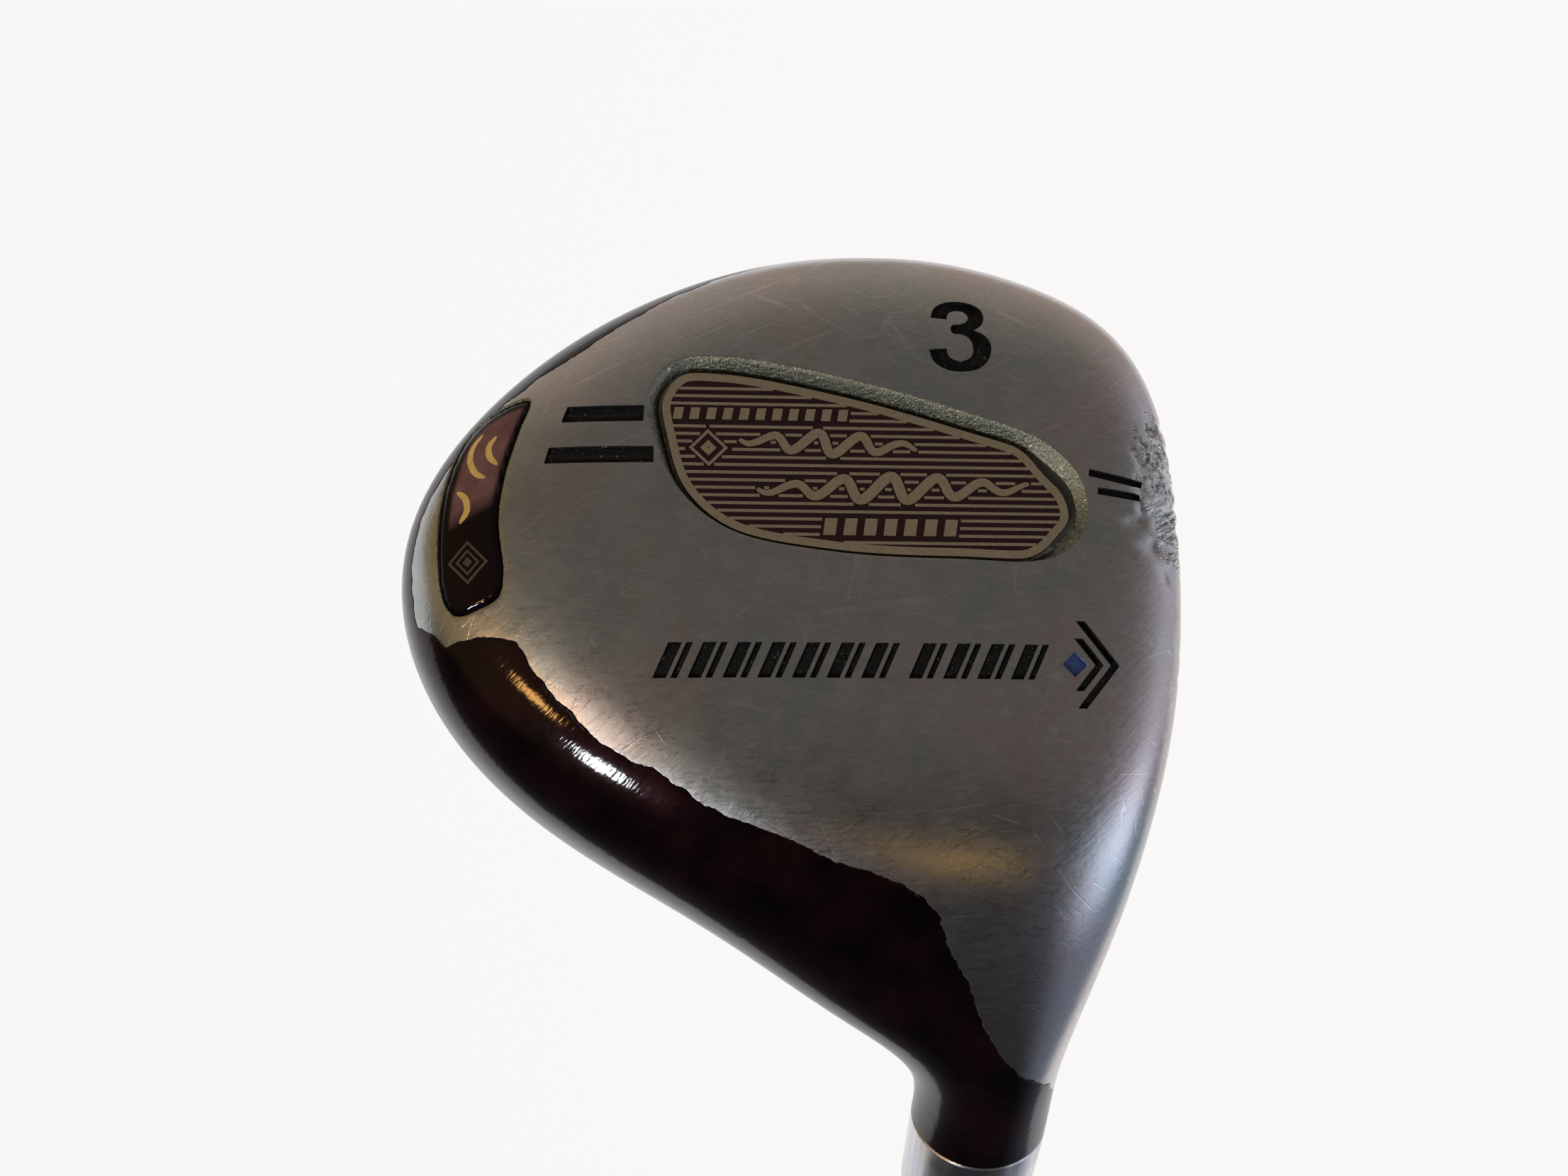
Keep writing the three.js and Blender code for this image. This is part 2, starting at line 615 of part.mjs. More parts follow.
const FINISHES = {
  crown_shell: { color: 0x3a0a12, roughness: 0.12, metalness: 0.4 },
  sole_shell: { color: 0x8b8d8f, roughness: 0.38, metalness: 1 },
  face_plate: { color: 0x9a9c9f, roughness: 0.42, metalness: 1 },
  hosel: { color: 0x3a0a12, roughness: 0.12, metalness: 0.4 },
  hosel_sleeve: { color: 0x2b2b2d, roughness: 0.6, metalness: 0 },
  ferrule: { color: 0xb9bbbd, roughness: 0.16, metalness: 1 },
  sole_badge: { color: 0x6d5c49, roughness: 0.35, metalness: 0.8 },
  sole_badge_tape: { color: 0xd8d4c8, roughness: 0.8, metalness: 0 },
  rear_badge_lens: { color: 0x24070c, roughness: 0.05, metalness: 0 },
  rear_badge_plate: { color: 0x140507, roughness: 0.3, metalness: 0.3 },
  rear_badge_tape: { color: 0xd8d4c8, roughness: 0.8, metalness: 0 },
  rear_weight: { color: 0x77736c, roughness: 0.5, metalness: 1 },
  foam_core: { color: 0xe4d9a8, roughness: 0.95, metalness: 0 },
  shaft: { color: 0xc4c7ca, roughness: 0.12, metalness: 1 },
  tip_plug: { color: 0xb08d5b, roughness: 0.9, metalness: 0 },
  tip_weight: { color: 0xb5934a, roughness: 0.4, metalness: 1 },
  shaft_band: { color: 0x4a1018, roughness: 0.3, metalness: 0 },
  grip_tape: { color: 0xe6e0cf, roughness: 0.85, metalness: 0 },
  grip_sleeve: { color: 0x1b1b1c, roughness: 0.75, metalness: 0 },
  grip_cap: { color: 0x161617, roughness: 0.7, metalness: 0 },
};

function piece(name, geometry) {
  const mesh = new THREE.Mesh(geometry, new THREE.MeshStandardMaterial(FINISHES[name]));
  mesh.name = name;
  return mesh;
}

function buildClub() {
  const club = new THREE.Group();
  const head = new THREE.Group();
  head.rotation.x = -(Math.PI / 2 + LIE);
  head.position.z = CLUB_LENGTH;
  for (const [name, solid] of Object.entries(headSolids())) {
    head.add(piece(name, geometryFromSolid(solid)));
  }
  club.add(head);
  for (const [name, geometry] of Object.entries(shaftGeometries())) club.add(piece(name, geometry));
  return club;
}

export default buildClub();
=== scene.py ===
"""A number 3 fairway wood, seen from below its sole, as on a sales photograph.

The head is worked out in its own address frame, in millimetres: +X is the way the face looks,
+Y points to the heel and +Z is up, from the point where the shaft axis meets the ground.
Finished meshes are then put in the row frame, in metres, where +Z runs up the shaft.
"""

import functools
import math

import bmesh
import bpy
import numpy as np
from mathutils import Matrix, Vector
from mathutils.bvhtree import BVHTree
from mathutils.geometry import delaunay_2d_cdt


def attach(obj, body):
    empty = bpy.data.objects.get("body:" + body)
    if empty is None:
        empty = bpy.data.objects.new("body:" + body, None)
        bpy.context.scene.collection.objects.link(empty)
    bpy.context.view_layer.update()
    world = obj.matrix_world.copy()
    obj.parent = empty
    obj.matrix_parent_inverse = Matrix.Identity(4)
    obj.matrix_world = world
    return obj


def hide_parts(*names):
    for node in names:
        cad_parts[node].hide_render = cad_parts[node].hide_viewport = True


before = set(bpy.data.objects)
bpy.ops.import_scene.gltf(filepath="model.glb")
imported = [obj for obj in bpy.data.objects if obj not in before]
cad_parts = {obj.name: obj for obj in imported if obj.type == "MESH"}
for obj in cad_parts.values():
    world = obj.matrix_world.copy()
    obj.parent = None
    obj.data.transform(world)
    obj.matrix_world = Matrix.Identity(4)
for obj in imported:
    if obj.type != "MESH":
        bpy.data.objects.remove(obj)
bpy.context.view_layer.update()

# ------------------------------------------------------------------ driving dimensions (mm)

MM = 0.001
CLUB_LENGTH = 1092.0
LIE = math.radians(57)
LOFT = math.radians(15)

# The neck: distances along the shaft axis, up from the ground point, and radii about it.
NECK_TOP = 46.04
NECK_FROM = 31.0
NECK_RADIUS = 7.0
SPIGOT_BOTTOM = 17.3
SPIGOT_RADIUS = 5.7
BORE_BOTTOM = 18.4
BORE_RADIUS = 5.1
TIP_RADIUS = 4.25
SEAM = 0.08  # between the head's pieces

WALLS = {"front": 2.5, "back": 2.3, "top": 1.0, "sole": 2.6}
PARTING_REAR = (-60.0, 0.0, 16.0)
PARTING_TILT = math.radians(13)

# How fine the meshes are: rings from toe to neck, and points around each.
HEAD_RINGS, HEAD_AROUND = 300, 400
PLAIN_RINGS, PLAIN_AROUND = 200, 320
CAVITY = {"from": 0.13, "to": 0.8, "rings": 60, "around": 90}

# Stations from the toe (s = 0) to the top of the neck (s = 1), as in the CAD model. A section
# is drawn between a point of the sole profile and one of the crown profile. Front and back are
# its reach, ridge and keel where the crown is highest and the sole lowest, nose and tail the
# heights of its front and back as a share of it, the powers how square its four corners are,
# and lean how far the face slopes back at its top.
STATIONS = np.array([
    # s   crownY crownZ soleY soleZ front  back  ridge  keel   nose  tail powers sf tf tb sb lean
    [0.00, -58.0, 13.5, -58.0, 13.5, -13.5, -13.5, -13.0, -13.0, 0.45, 0.50, 2.0, 2.0, 2.0, 2.0, 0.0],
    [0.10, -56.7, 20.5, -57.0, 7.0, -3.5, -25.5, -13.0, -13.5, 0.42, 0.50, 2.3, 2.2, 2.1, 2.3, 0.7],
    [0.20, -52.2, 26.5, -52.6, 3.2, 7.2, -38.0, -13.0, -15.5, 0.34, 0.48, 2.7, 2.5, 2.1, 2.5, 2.4],
    [0.33, -42.0, 31.5, -42.5, 1.0, 13.8, -51.8, -12.0, -17.5, 0.24, 0.44, 3.2, 3.0, 2.2, 2.8, 5.9],
    [0.47, -28.0, 34.8, -28.0, 0.2, 15.4, -60.0, -10.5, -18.0, 0.19, 0.42, 3.4, 3.4, 2.3, 3.0, 7.8],
    [0.60, -13.5, 36.0, -13.0, 0.2, 14.8, -57.0, -9.0, -15.0, 0.20, 0.43, 3.2, 3.2, 2.3, 2.8, 7.2],
    [0.72, -1.5, 35.6, 0.0, 1.5, 12.2, -45.0, -6.5, -10.0, 0.24, 0.45, 2.9, 2.8, 2.2, 2.5, 4.6],
    [0.82, 6.5, 35.2, 11.0, 7.0, 9.4, -29.0, -4.0, -5.0, 0.32, 0.47, 2.6, 2.4, 2.1, 2.2, 2.0],
    [0.90, 12.0, 36.6, 20.0, 16.5, 7.3, -16.2, -1.5, -1.5, 0.42, 0.49, 2.3, 2.2, 2.0, 2.1, 0.5],
    [0.96, 16.0, 39.0, 26.2, 26.2, 6.8, -8.0, 0.0, 0.0, 0.50, 0.50, 2.0, 2.0, 2.0, 2.0, 0.0],
    [1.00, 19.2, 42.4, 30.9, 34.8, 7.0, -7.0, 0.0, 0.0, 0.50, 0.50, 2.0, 2.0, 2.0, 2.0, 0.0],
])
COLUMNS = ["crownY", "crownZ", "soleY", "soleZ", "front", "back", "ridge", "keel",
           "nose", "tail", "sole_front", "top_front", "top_back", "sole_back", "lean"]
CROWN_RUN = 78.0
SOLE_RUN = 190.0
START_SLOPES = {"crownY": 0.0, "soleY": 0.0}
END_SLOPES = {
    "crownY": math.cos(LIE) * CROWN_RUN, "crownZ": math.sin(LIE) * CROWN_RUN,
    "soleY": math.cos(LIE) * SOLE_RUN, "soleZ": math.sin(LIE) * SOLE_RUN,
}
NO_INSET = {"front": 0.0, "back": 0.0, "top": 0.0, "sole": 0.0}

SHAFT_AXIS = Vector((0.0, math.cos(LIE), math.sin(LIE)))
ADDRESS_TO_ROW = (
    Matrix.Scale(MM, 4)
    @ Matrix.Translation((0, 0, CLUB_LENGTH))
    @ Matrix.Rotation(-(math.pi / 2 + LIE), 4, "X")
)


# ------------------------------------------------------------------ camera and lamps

NECK_END = Vector((0, 0, (CLUB_LENGTH - NECK_TOP) * MM))
HEAD_MIDDLE = Vector((-0.018, 0.025, 1.082))
CAMERA_FROM_NECK = Vector((-70.0, -229.2, 304.1)) * MM
CAMERA_LOOK = Vector((0.1292, 0.7033, -0.6990))
CAMERA_RIGHT = Vector((0.9916, -0.0840, 0.0983))
CAMERA_LENS = 85.0

# Lamps: direction from the head, distance, size, power in watts and colour.
LAMP_SPREAD = math.radians(60)
LAMPS = [
    ("window", (-0.540, -0.828, 0.152), 1.2, (0.13, 0.17), 0.85, (0.88, 0.93, 1.0)),
    ("warm_lamp", (-0.639, -0.659, 0.398), 1.2, (0.14, 0.09), 0.18, (1.0, 0.50, 0.15)),
    ("edge_lamp", (-0.47, -0.69, 0.55), 1.2, (0.12, 0.12), 0.048, (1.0, 0.95, 0.86)),
    ("gold_lamp", (0.190, -0.918, 0.350), 1.2, (0.08, 0.09), 0.015, (1.0, 0.60, 0.18)),
    ("cool_window", (0.82, -0.57, 0.03), 1.3, (0.74, 0.9), 0.56, (0.70, 0.76, 1.0)),
]


def aimed(right, look):
    """The turn whose -Z axis is look and whose +X axis is as near to right as it can be."""
    look = look.normalized()
    right = (right - look * right.dot(look)).normalized()
    return Matrix((right, right.cross(look), -look)).transposed().to_4x4()


def put(name, data, spot, turn):
    """Puts a camera or a lamp in the scene."""
    made = bpy.data.objects.new(name, data)
    made.matrix_world = Matrix.Translation(spot) @ turn
    bpy.context.collection.objects.link(made)
    return made


def make_camera():
    data = bpy.data.cameras.new("camera")
    data.lens = CAMERA_LENS
    data.sensor_width = 36.0
    data.clip_start = 0.01
    data.clip_end = 100.0
    turn = aimed(CAMERA_RIGHT, CAMERA_LOOK)
    bpy.context.scene.camera = put("camera", data, NECK_END + CAMERA_FROM_NECK, turn)


def make_lamps():
    """Rectangular lamps that face the head."""
    for name, direction, distance, size, power, colour in LAMPS:
        data = bpy.data.lights.new(name, "AREA")
        data.shape = "RECTANGLE"
        data.size, data.size_y = size
        data.energy = power
        data.spread = LAMP_SPREAD
        data.color = colour
        away = Vector(direction).normalized()
        side = Vector((0, 0, 1)).cross(away)
        put(name, data, HEAD_MIDDLE + away * distance, aimed(side, -away))


# ------------------------------------------------------------------ the room and the floor

# The room's colour overhead, then the colours that it turns to, one over the other. Each has
# ramps: an axis of the direction, where the ramp starts along it and where it is full.
ROOM_ABOVE = (0.200, 0.182, 0.168, 1)
ROOM_SIDES = [
    # Behind the head as the camera sees it, at the face's side, at the rear, round the camera.
    ([("Y", -0.08, 0.92)], (0.66, 0.57, 0.51, 1)),
    ([("X", 0.60, 0.94)], (0.86, 0.86, 1.02, 1)),
    ([("X", -0.30, -0.95)], (0.40, 0.28, 0.12, 1)),
    ([("Y", -0.45, -0.90)], (0.03, 0.027, 0.027, 1)),
    # Below the horizon: everywhere, at the face's side, behind the head.
    ([("Z", 0.04, -0.20)], (0.038, 0.038, 0.042, 1)),
    ([("Z", 0.02, -0.22), ("X", 0.34, 0.80)], (0.34, 0.41, 0.56, 1)),
    ([("Z", 0.00, -0.10), ("Y", 0.00, 0.09)], (1.15, 1.14, 1.17, 1)),
]
FLOOR_RADIUS = 30.0
FLOOR_SIDES = 96
FLOOR_DROP = 0.0005  # keeps the floor clear of the grip's end
FLOOR_COLOUR = (0.64, 0.69, 0.73, 1)
FLOOR_GLOW = 0.71
WALL_HEIGHT = 15.0


def make_room():
    """A dim room without walls: its colour depends on the direction alone."""
    world = bpy.data.worlds.new("studio")
    n = Nodes(world)
    direction = n.axes(n.node("ShaderNodeTexCoord").outputs["Generated"])
    colour = ROOM_ABOVE
    for ramps, reached in ROOM_SIDES:
        shares = [n.between(direction[axis], start, full) for axis, start, full in ramps]
        share = shares[0] if len(shares) == 1 else n.math("MULTIPLY", *shares)
        colour = n.mix(share, colour, reached)
    n.link(colour, n.tree.nodes["Background"].inputs["Color"])
    bpy.context.scene.world = world


def make_floor():
    """A pale round floor and wall. Only the camera sees them: the light comes from the room."""
    angle = np.linspace(0, 2 * np.pi, FLOOR_SIDES, endpoint=False)
    rim = around_z(FLOOR_RADIUS, angle, 0.0)
    faces = [tuple(range(FLOOR_SIDES))] + tube(2, FLOOR_SIDES)
    n = Finish("floor")
    n.set(Base_Color=FLOOR_COLOUR, Roughness=0.9)
    n.set(Emission_Color=(1, 1, 1, 1), Emission_Strength=FLOOR_GLOW)
    floor = make_object("floor", np.concatenate([rim, rim + (0, 0, WALL_HEIGHT)]), faces, n.material)
    floor.location.z = -FLOOR_DROP
    floor.visible_diffuse = False
    floor.visible_glossy = False
    floor.visible_shadow = False


# ------------------------------------------------------------------ node helpers

class Nodes:
    """The node tree of a new material or world, with short calls for what the finishes share."""

    def __init__(self, owner):
        owner.use_nodes = True
        self.tree = owner.node_tree

    def node(self, kind, **settings):
        made = self.tree.nodes.new(kind)
        for key, value in settings.items():
            setattr(made, key, value)
        return made

    def link(self, source, target):
        self.tree.links.new(source, target)

    def feed(self, socket, value):
        """Links another node's output to a socket, or gives it a constant."""
        if isinstance(value, bpy.types.NodeSocket):
            self.link(value, socket)
        else:
            socket.default_value = value

    def head_mm(self):
        """The place in the head's address frame, in millimetres."""
        turn = self.node("ShaderNodeVectorRotate", rotation_type="X_AXIS")
        turn.inputs["Center"].default_value = (0, 0, CLUB_LENGTH * MM)
        turn.inputs["Angle"].default_value = math.pi / 2 + LIE
        self.link(self.node("ShaderNodeTexCoord").outputs["Object"], turn.inputs["Vector"])
        shift = self.vector_math("SUBTRACT", turn.outputs[0], (0, 0, CLUB_LENGTH * MM))
        return self.vector_math("SCALE", shift, scale=1 / MM)

    def row_mm(self):
        """The place in the row frame, in millimetres."""
        place = self.node("ShaderNodeTexCoord").outputs["Object"]
        return self.vector_math("SCALE", place, scale=1 / MM)

    def axes(self, vector):
        """A vector's X, Y and Z, by name."""
        made = self.node("ShaderNodeSeparateXYZ")
        self.link(vector, made.inputs[0])
        return made.outputs

    def vector_math(self, operation, a, b=None, scale=None):
        made = self.node("ShaderNodeVectorMath", operation=operation)
        self.feed(made.inputs[0], a)
        if b is not None:
            self.feed(made.inputs[1], b)
        if scale is not None:
            made.inputs["Scale"].default_value = scale
        return made.outputs["Value" if operation == "LENGTH" else "Vector"]

    def math(self, operation, a, b=None):
        made = self.node("ShaderNodeMath", operation=operation)
        self.feed(made.inputs[0], a)
        if b is not None:
            self.feed(made.inputs[1], b)
        return made.outputs[0]

    def stretch(self, vector, scale, turn=0.0):
        """Turns a vector about Z, then scales it along the turned axes."""
        made = self.node("ShaderNodeMapping")
        made.inputs["Rotation"].default_value = (0, 0, turn)
        self.link(vector, made.inputs["Vector"])
        return self.vector_math("MULTIPLY", made.outputs[0], scale)

    def noise(self, vector, scale=1.0, detail=3.0, rough=0.55):
        made = self.node("ShaderNodeTexNoise")
        made.inputs["Scale"].default_value = scale
        made.inputs["Detail"].default_value = detail
        made.inputs["Roughness"].default_value = rough
        self.link(vector, made.inputs["Vector"])
        return made.outputs[0]

    def between(self, value, low, high, to_low=0.0, to_high=1.0, smooth=True):
        """Maps a value from one range to another, and holds it there."""
        made = self.node("ShaderNodeMapRange", clamp=True)
        made.interpolation_type = "SMOOTHSTEP" if smooth else "LINEAR"
        for socket, number in zip(made.inputs[1:5], (low, high, to_low, to_high)):
            socket.default_value = number
        self.link(value, made.inputs["Value"])
        return made.outputs[0]

    def vary(self, noise, low, high):
        """Spreads the usual range of a noise evenly from low to high."""
        return self.between(noise, 0.3, 0.7, low, high, smooth=False)

    def mix(self, share, a, b, kind="RGBA"):
        made = self.node("ShaderNodeMix", data_type=kind)
        for name, value in (("Factor", share), ("A", a), ("B", b)):
            self.feed(made.inputs[name], value)
        return made.outputs["Result"]

    def mix_number(self, share, a, b):
        return self.mix(share, a, b, "FLOAT")

    def bump(self, height, distance_mm, strength=1.0, base=None):
        made = self.node("ShaderNodeBump")
        made.inputs["Distance"].default_value = distance_mm * MM
        made.inputs["Strength"].default_value = strength
        self.link(height, made.inputs["Height"])
        if base is not None:
            self.link(base, made.inputs["Normal"])
        return made.outputs[0]

    def scratches(self, vector, turn, seed, width=0.014, share=0.63):
        """Sparse thin bent lines that run roughly one way, from 0 to 1."""
        shifted = self.vector_math("ADD", vector, (seed * 17.3, seed * 31.1, seed * 5.7))
        field = self.noise(self.stretch(shifted, (0.035, 0.40, 0.2), turn), detail=0.0)
        away = self.math("ABSOLUTE", self.math("SUBTRACT", field, 0.5))
        thin = self.between(away, 0.0, width, 1.0, 0.0)
        patches = self.between(self.noise(shifted, 0.13, 1.0), share, share + 0.05)
        return self.math("MULTIPLY", thin, patches)

    def hairlines(self, vector, turn, seed):
        """Bundles of fine straight lines that run one way, from 0 to 1."""
        shifted = self.vector_math("ADD", vector, (seed * 23.9, seed * 13.7, seed * 3.1))
        field = self.noise(self.stretch(shifted, (0.045, 2.3, 0.6), turn), detail=2.0, rough=0.6)
        patches = self.between(self.noise(shifted, 0.05, 1.0), 0.50, 0.59)
        return self.math("MULTIPLY", self.between(field, 0.60, 0.74), patches)


class Finish(Nodes):
    """A new material and its shader."""

    def __init__(self, name):
        self.material = bpy.data.materials.new(name)
        super().__init__(self.material)
        self.shader = self.tree.nodes["Principled BSDF"]

    def set(self, **values):
        """Gives each named input of the shader a link or a constant."""
        for key, value in values.items():
            name = key.replace("_", " ").title().replace("Ior", "IOR")
            self.feed(self.shader.inputs[name], value)


# ------------------------------------------------------------------ the head's form

def cubic_spline(x, y, start=None, end=0.0):
    """A cubic spline through the points. Without a start slope, that end is free."""
    count = len(x)
    h = np.diff(x)
    rise = np.diff(y) / h
    matrix = np.zeros((count, count))
    right = np.zeros(count)
    for i in range(1, count - 1):
        matrix[i, i - 1:i + 2] = h[i - 1], 2 * (h[i - 1] + h[i]), h[i]
        right[i] = 6 * (rise[i] - rise[i - 1])
    matrix[0, 0] = 1.0
    if start is not None:
        matrix[0, :2] = 2 * h[0], h[0]
        right[0] = 6 * (rise[0] - start)
    matrix[-1, -2:] = h[-1], 2 * h[-1]
    right[-1] = 6 * (end - rise[-1])
    bend = np.linalg.solve(matrix, right)

    def at(value):
        i = np.clip(np.searchsorted(x, value) - 1, 0, count - 2)
        a = (x[i + 1] - value) / h[i]
        b = (value - x[i]) / h[i]
        bow = ((a**3 - a) * bend[i] + (b**3 - b) * bend[i + 1]) * h[i] ** 2 / 6
        return a * y[i] + b * y[i + 1] + bow
    return at


SPLINES = {
    name: cubic_spline(
        STATIONS[:, 0], STATIONS[:, k], START_SLOPES.get(name), END_SLOPES.get(name, 0.0)
    )
    for k, name in enumerate(COLUMNS, 1)
}


def head_points(s, angle, inset=NO_INSET):
    """Points of the head's form, as rings. Angle 0 is the front, a quarter turn the crown."""
    c = {name: spline(s)[:, None] for name, spline in SPLINES.items()}
    up = np.stack([c["crownY"] - c["soleY"], c["crownZ"] - c["soleZ"]])
    up /= np.maximum(np.linalg.norm(up, axis=0), 1e-9)
    crown = np.stack([c["crownY"], c["crownZ"]]) - up * inset["top"]
    sole = np.stack([c["soleY"], c["soleZ"]]) + up * inset["sole"]
    front = c["front"] - inset["front"]
    back = c["back"] + inset["back"]
    cos, sin = np.cos(angle)[None, :], np.sin(angle)[None, :]
    power = np.where(
        sin >= 0,
        np.where(cos >= 0, c["top_front"], c["top_back"]),
        np.where(cos >= 0, c["sole_front"], c["sole_back"]),
    )
    reach = (np.abs(cos) ** power + np.abs(sin) ** power) ** (-1 / power)
    middle = np.where(sin >= 0, c["ridge"], c["keel"])
    half = np.where(cos >= 0, front - middle, middle - back)
    level = np.where(cos >= 0, c["nose"], c["tail"])
    height = level + np.where(sin >= 0, 1 - level, level) * reach * sin
    x = middle + half * reach * cos
    share = np.clip((x - c["ridge"]) / np.maximum(front - c["ridge"], 1e-9), 0, 1)
    share = share**2 * (3 - 2 * share)
    x = x - c["lean"] * np.maximum(0, (height - level) / (1 - level)) * share
    profile = sole[..., :] + (crown - sole) * height
    return np.stack([x, profile[0], profile[1]], axis=-1)


def loft(s, around, inset=NO_INSET, shape=None):
    """A closed mesh of the head's form through the stations s, as points and faces."""
    angle = np.linspace(0, 2 * np.pi, around, endpoint=False)
    rings = head_points(s, angle, inset)
    if shape is not None:
        rings = shape(rings)
    ends = np.stack([rings[0].mean(axis=0), rings[-1].mean(axis=0)])
    points = np.concatenate([rings.reshape(-1, 3), ends])
    faces = [face[::-1] for face in tube(len(s), around)]
    toe, top = len(points) - 2, len(points) - 1
    last = toe - around
    for k in range(around):
        after = (k + 1) % around
        faces.append((toe, k, after))
        faces.append((top, last + after, last + k))
    return points, faces


def toe_spacing(count, start=0.004, end=1.0, crowd=1.35):
    """Stations from the toe to the neck, closer together at the toe."""
    return start + (end - start) * np.linspace(0, 1, count) ** crowd


# ------------------------------------------------------------------ meshes and cuts

def make_object(name, points, faces, material):
    mesh = bpy.data.meshes.new(name)
    mesh.from_pydata([tuple(p) for p in points], [], faces)
    mesh.validate()
    mesh.materials.append(material)
    made = bpy.data.objects.new(name, mesh)
    bpy.context.collection.objects.link(made)
    return made


def tube(rings, around, closed=False):
    """Faces that join rings of points in order and, if closed, the last ring to the first."""
    faces = []
    for i in range(rings if closed else rings - 1):
        k = (i + 1) % rings
        for j in range(around):
            m = (j + 1) % around
            faces.append((i * around + j, i * around + m, k * around + m, k * around + j))
    return faces


def around_z(radius, angle, height):
    """Points at radii, angles and heights about the Z axis."""
    flat = radius * np.cos(angle), radius * np.sin(angle)
    return np.stack(np.broadcast_arrays(*flat, height), axis=-1)


def outward(made, merge=False):
    """Turns all faces outward and, if asked, first merges points that coincide."""
    mesh = bmesh.new()
    mesh.from_mesh(made.data)
    if merge:
        bmesh.ops.remove_doubles(mesh, verts=mesh.verts, dist=1e-7)
    bmesh.ops.recalc_face_normals(mesh, faces=mesh.faces)
    mesh.to_mesh(made.data)
    mesh.free()
    return made


def swap_mesh(made, mesh):
    old = made.data
    made.data = mesh
    bpy.data.meshes.remove(old)


def combine(target, tool, operation):
    """Cuts target with a tool, or keeps what they share. Cut faces take the tool's material."""
    modifier = target.modifiers.new("cut", "BOOLEAN")
    modifier.operation = operation
    modifier.solver = "MANIFOLD"
    modifier.material_mode = "TRANSFER"
    modifier.object = tool
    evaluated = target.evaluated_get(bpy.context.evaluated_depsgraph_get())
    mesh = bpy.data.meshes.new_from_object(evaluated)
    target.modifiers.clear()
    swap_mesh(target, mesh)


def remove(*objects):
    for each in objects:
        mesh = each.data
        bpy.data.objects.remove(each)
        bpy.data.meshes.remove(mesh)


def copy_of(made, name):
    twin = bpy.data.objects.new(name, made.data.copy())
    bpy.context.collection.objects.link(twin)
    return twin


BLOCK_SIZE = 300.0  # half the width of a block that is larger than the head


def half_space(point, outward, material):
    """A large block that fills the near side of a plane."""
    size = BLOCK_SIZE
    corners = [(x, y, z) for z in (-size, 0) for y in (-size, size) for x in (-size, size)]
    sides = [(0, 2, 3, 1), (4, 5, 7, 6), (0, 1, 5, 4), (2, 6, 7, 3), (0, 4, 6, 2), (1, 3, 7, 5)]
    turn = Vector(outward).to_track_quat("Z", "Y")
    points = [turn @ Vector(c) + Vector(point) for c in corners]
    return make_object("block", points, sides, material)


def register(made, name, node, angle):
    """Smooths a finished piece and gives it its name and its place in the record."""
    made.name = name
    made.data.name = name
    for polygon in made.data.polygons:
        polygon.use_smooth = True
    made.data.set_sharp_from_angle(angle=math.radians(angle))
    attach(made, "root")
    if node:
        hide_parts(node)


# ------------------------------------------------------------------ outlines

def catmull_rom(points, closed, per_span=10):
    """A centripetal curve through the points."""
    p = np.array(points, float)
    if closed:
        p = np.concatenate([p[-1:], p, p[:2]])
    else:
        p = np.concatenate([[2 * p[0] - p[1]], p, [2 * p[-1] - p[-2]]])
    out = []
    for i in range(len(p) - 3):
        a, b, c, d = p[i:i + 4]
        t1 = np.linalg.norm(b - a) ** 0.5
        t2 = t1 + np.linalg.norm(c - b) ** 0.5
        t3 = t2 + np.linalg.norm(d - c) ** 0.5
        for t in np.linspace(t1, t2, per_span, endpoint=False):
            q1 = a * (t1 - t) / t1 + b * t / t1
            q2 = b * (t2 - t) / (t2 - t1) + c * (t - t1) / (t2 - t1)
            q3 = c * (t3 - t) / (t3 - t2) + d * (t - t2) / (t3 - t2)
            r1 = q1 * (t2 - t) / t2 + q2 * t / t2
            r2 = q2 * (t3 - t) / (t3 - t1) + q3 * (t - t1) / (t3 - t1)
            out.append(r1 * (t2 - t) / (t2 - t1) + r2 * (t - t1) / (t2 - t1))
    if not closed:
        out.append(p[-2])
    return np.array(out)


def resample(points, step):
    """Points at even distances along a closed outline, counterclockwise."""
    loop = np.concatenate([points, points[:1]])
    lengths = np.concatenate([[0], np.cumsum(np.linalg.norm(np.diff(loop, axis=0), axis=1))])
    count = max(8, int(round(lengths[-1] / step)))
    at = np.linspace(0, lengths[-1], count, endpoint=False)
    return counterclockwise(np.stack([np.interp(at, lengths, loop[:, k]) for k in (0, 1)], axis=1))


def counterclockwise(outline):
    outline = np.asarray(outline, float)
    outline = outline[np.linalg.norm(outline - np.roll(outline, 1, axis=0), axis=1) > 1e-6]
    x, y = outline[:, 0], outline[:, 1]
    area = np.sum(x * np.roll(y, -1) - y * np.roll(x, -1))
    return outline if area > 0 else outline[::-1]


def edge_normals(outline):
    """Directions into a counterclockwise outline, one at each point."""
    before = outline - np.roll(outline, 1, axis=0)
    after = np.roll(outline, -1, axis=0) - outline
    before /= np.linalg.norm(before, axis=1)[:, None]
    after /= np.linalg.norm(after, axis=1)[:, None]
    a = np.stack([-before[:, 1], before[:, 0]], axis=1)
    b = np.stack([-after[:, 1], after[:, 0]], axis=1)
    both = a + b
    return both / np.maximum((both * a).sum(axis=1), 0.35)[:, None]


def inset_outline(outline, distance):
    return outline + edge_normals(outline) * np.asarray(distance).reshape(-1, 1)


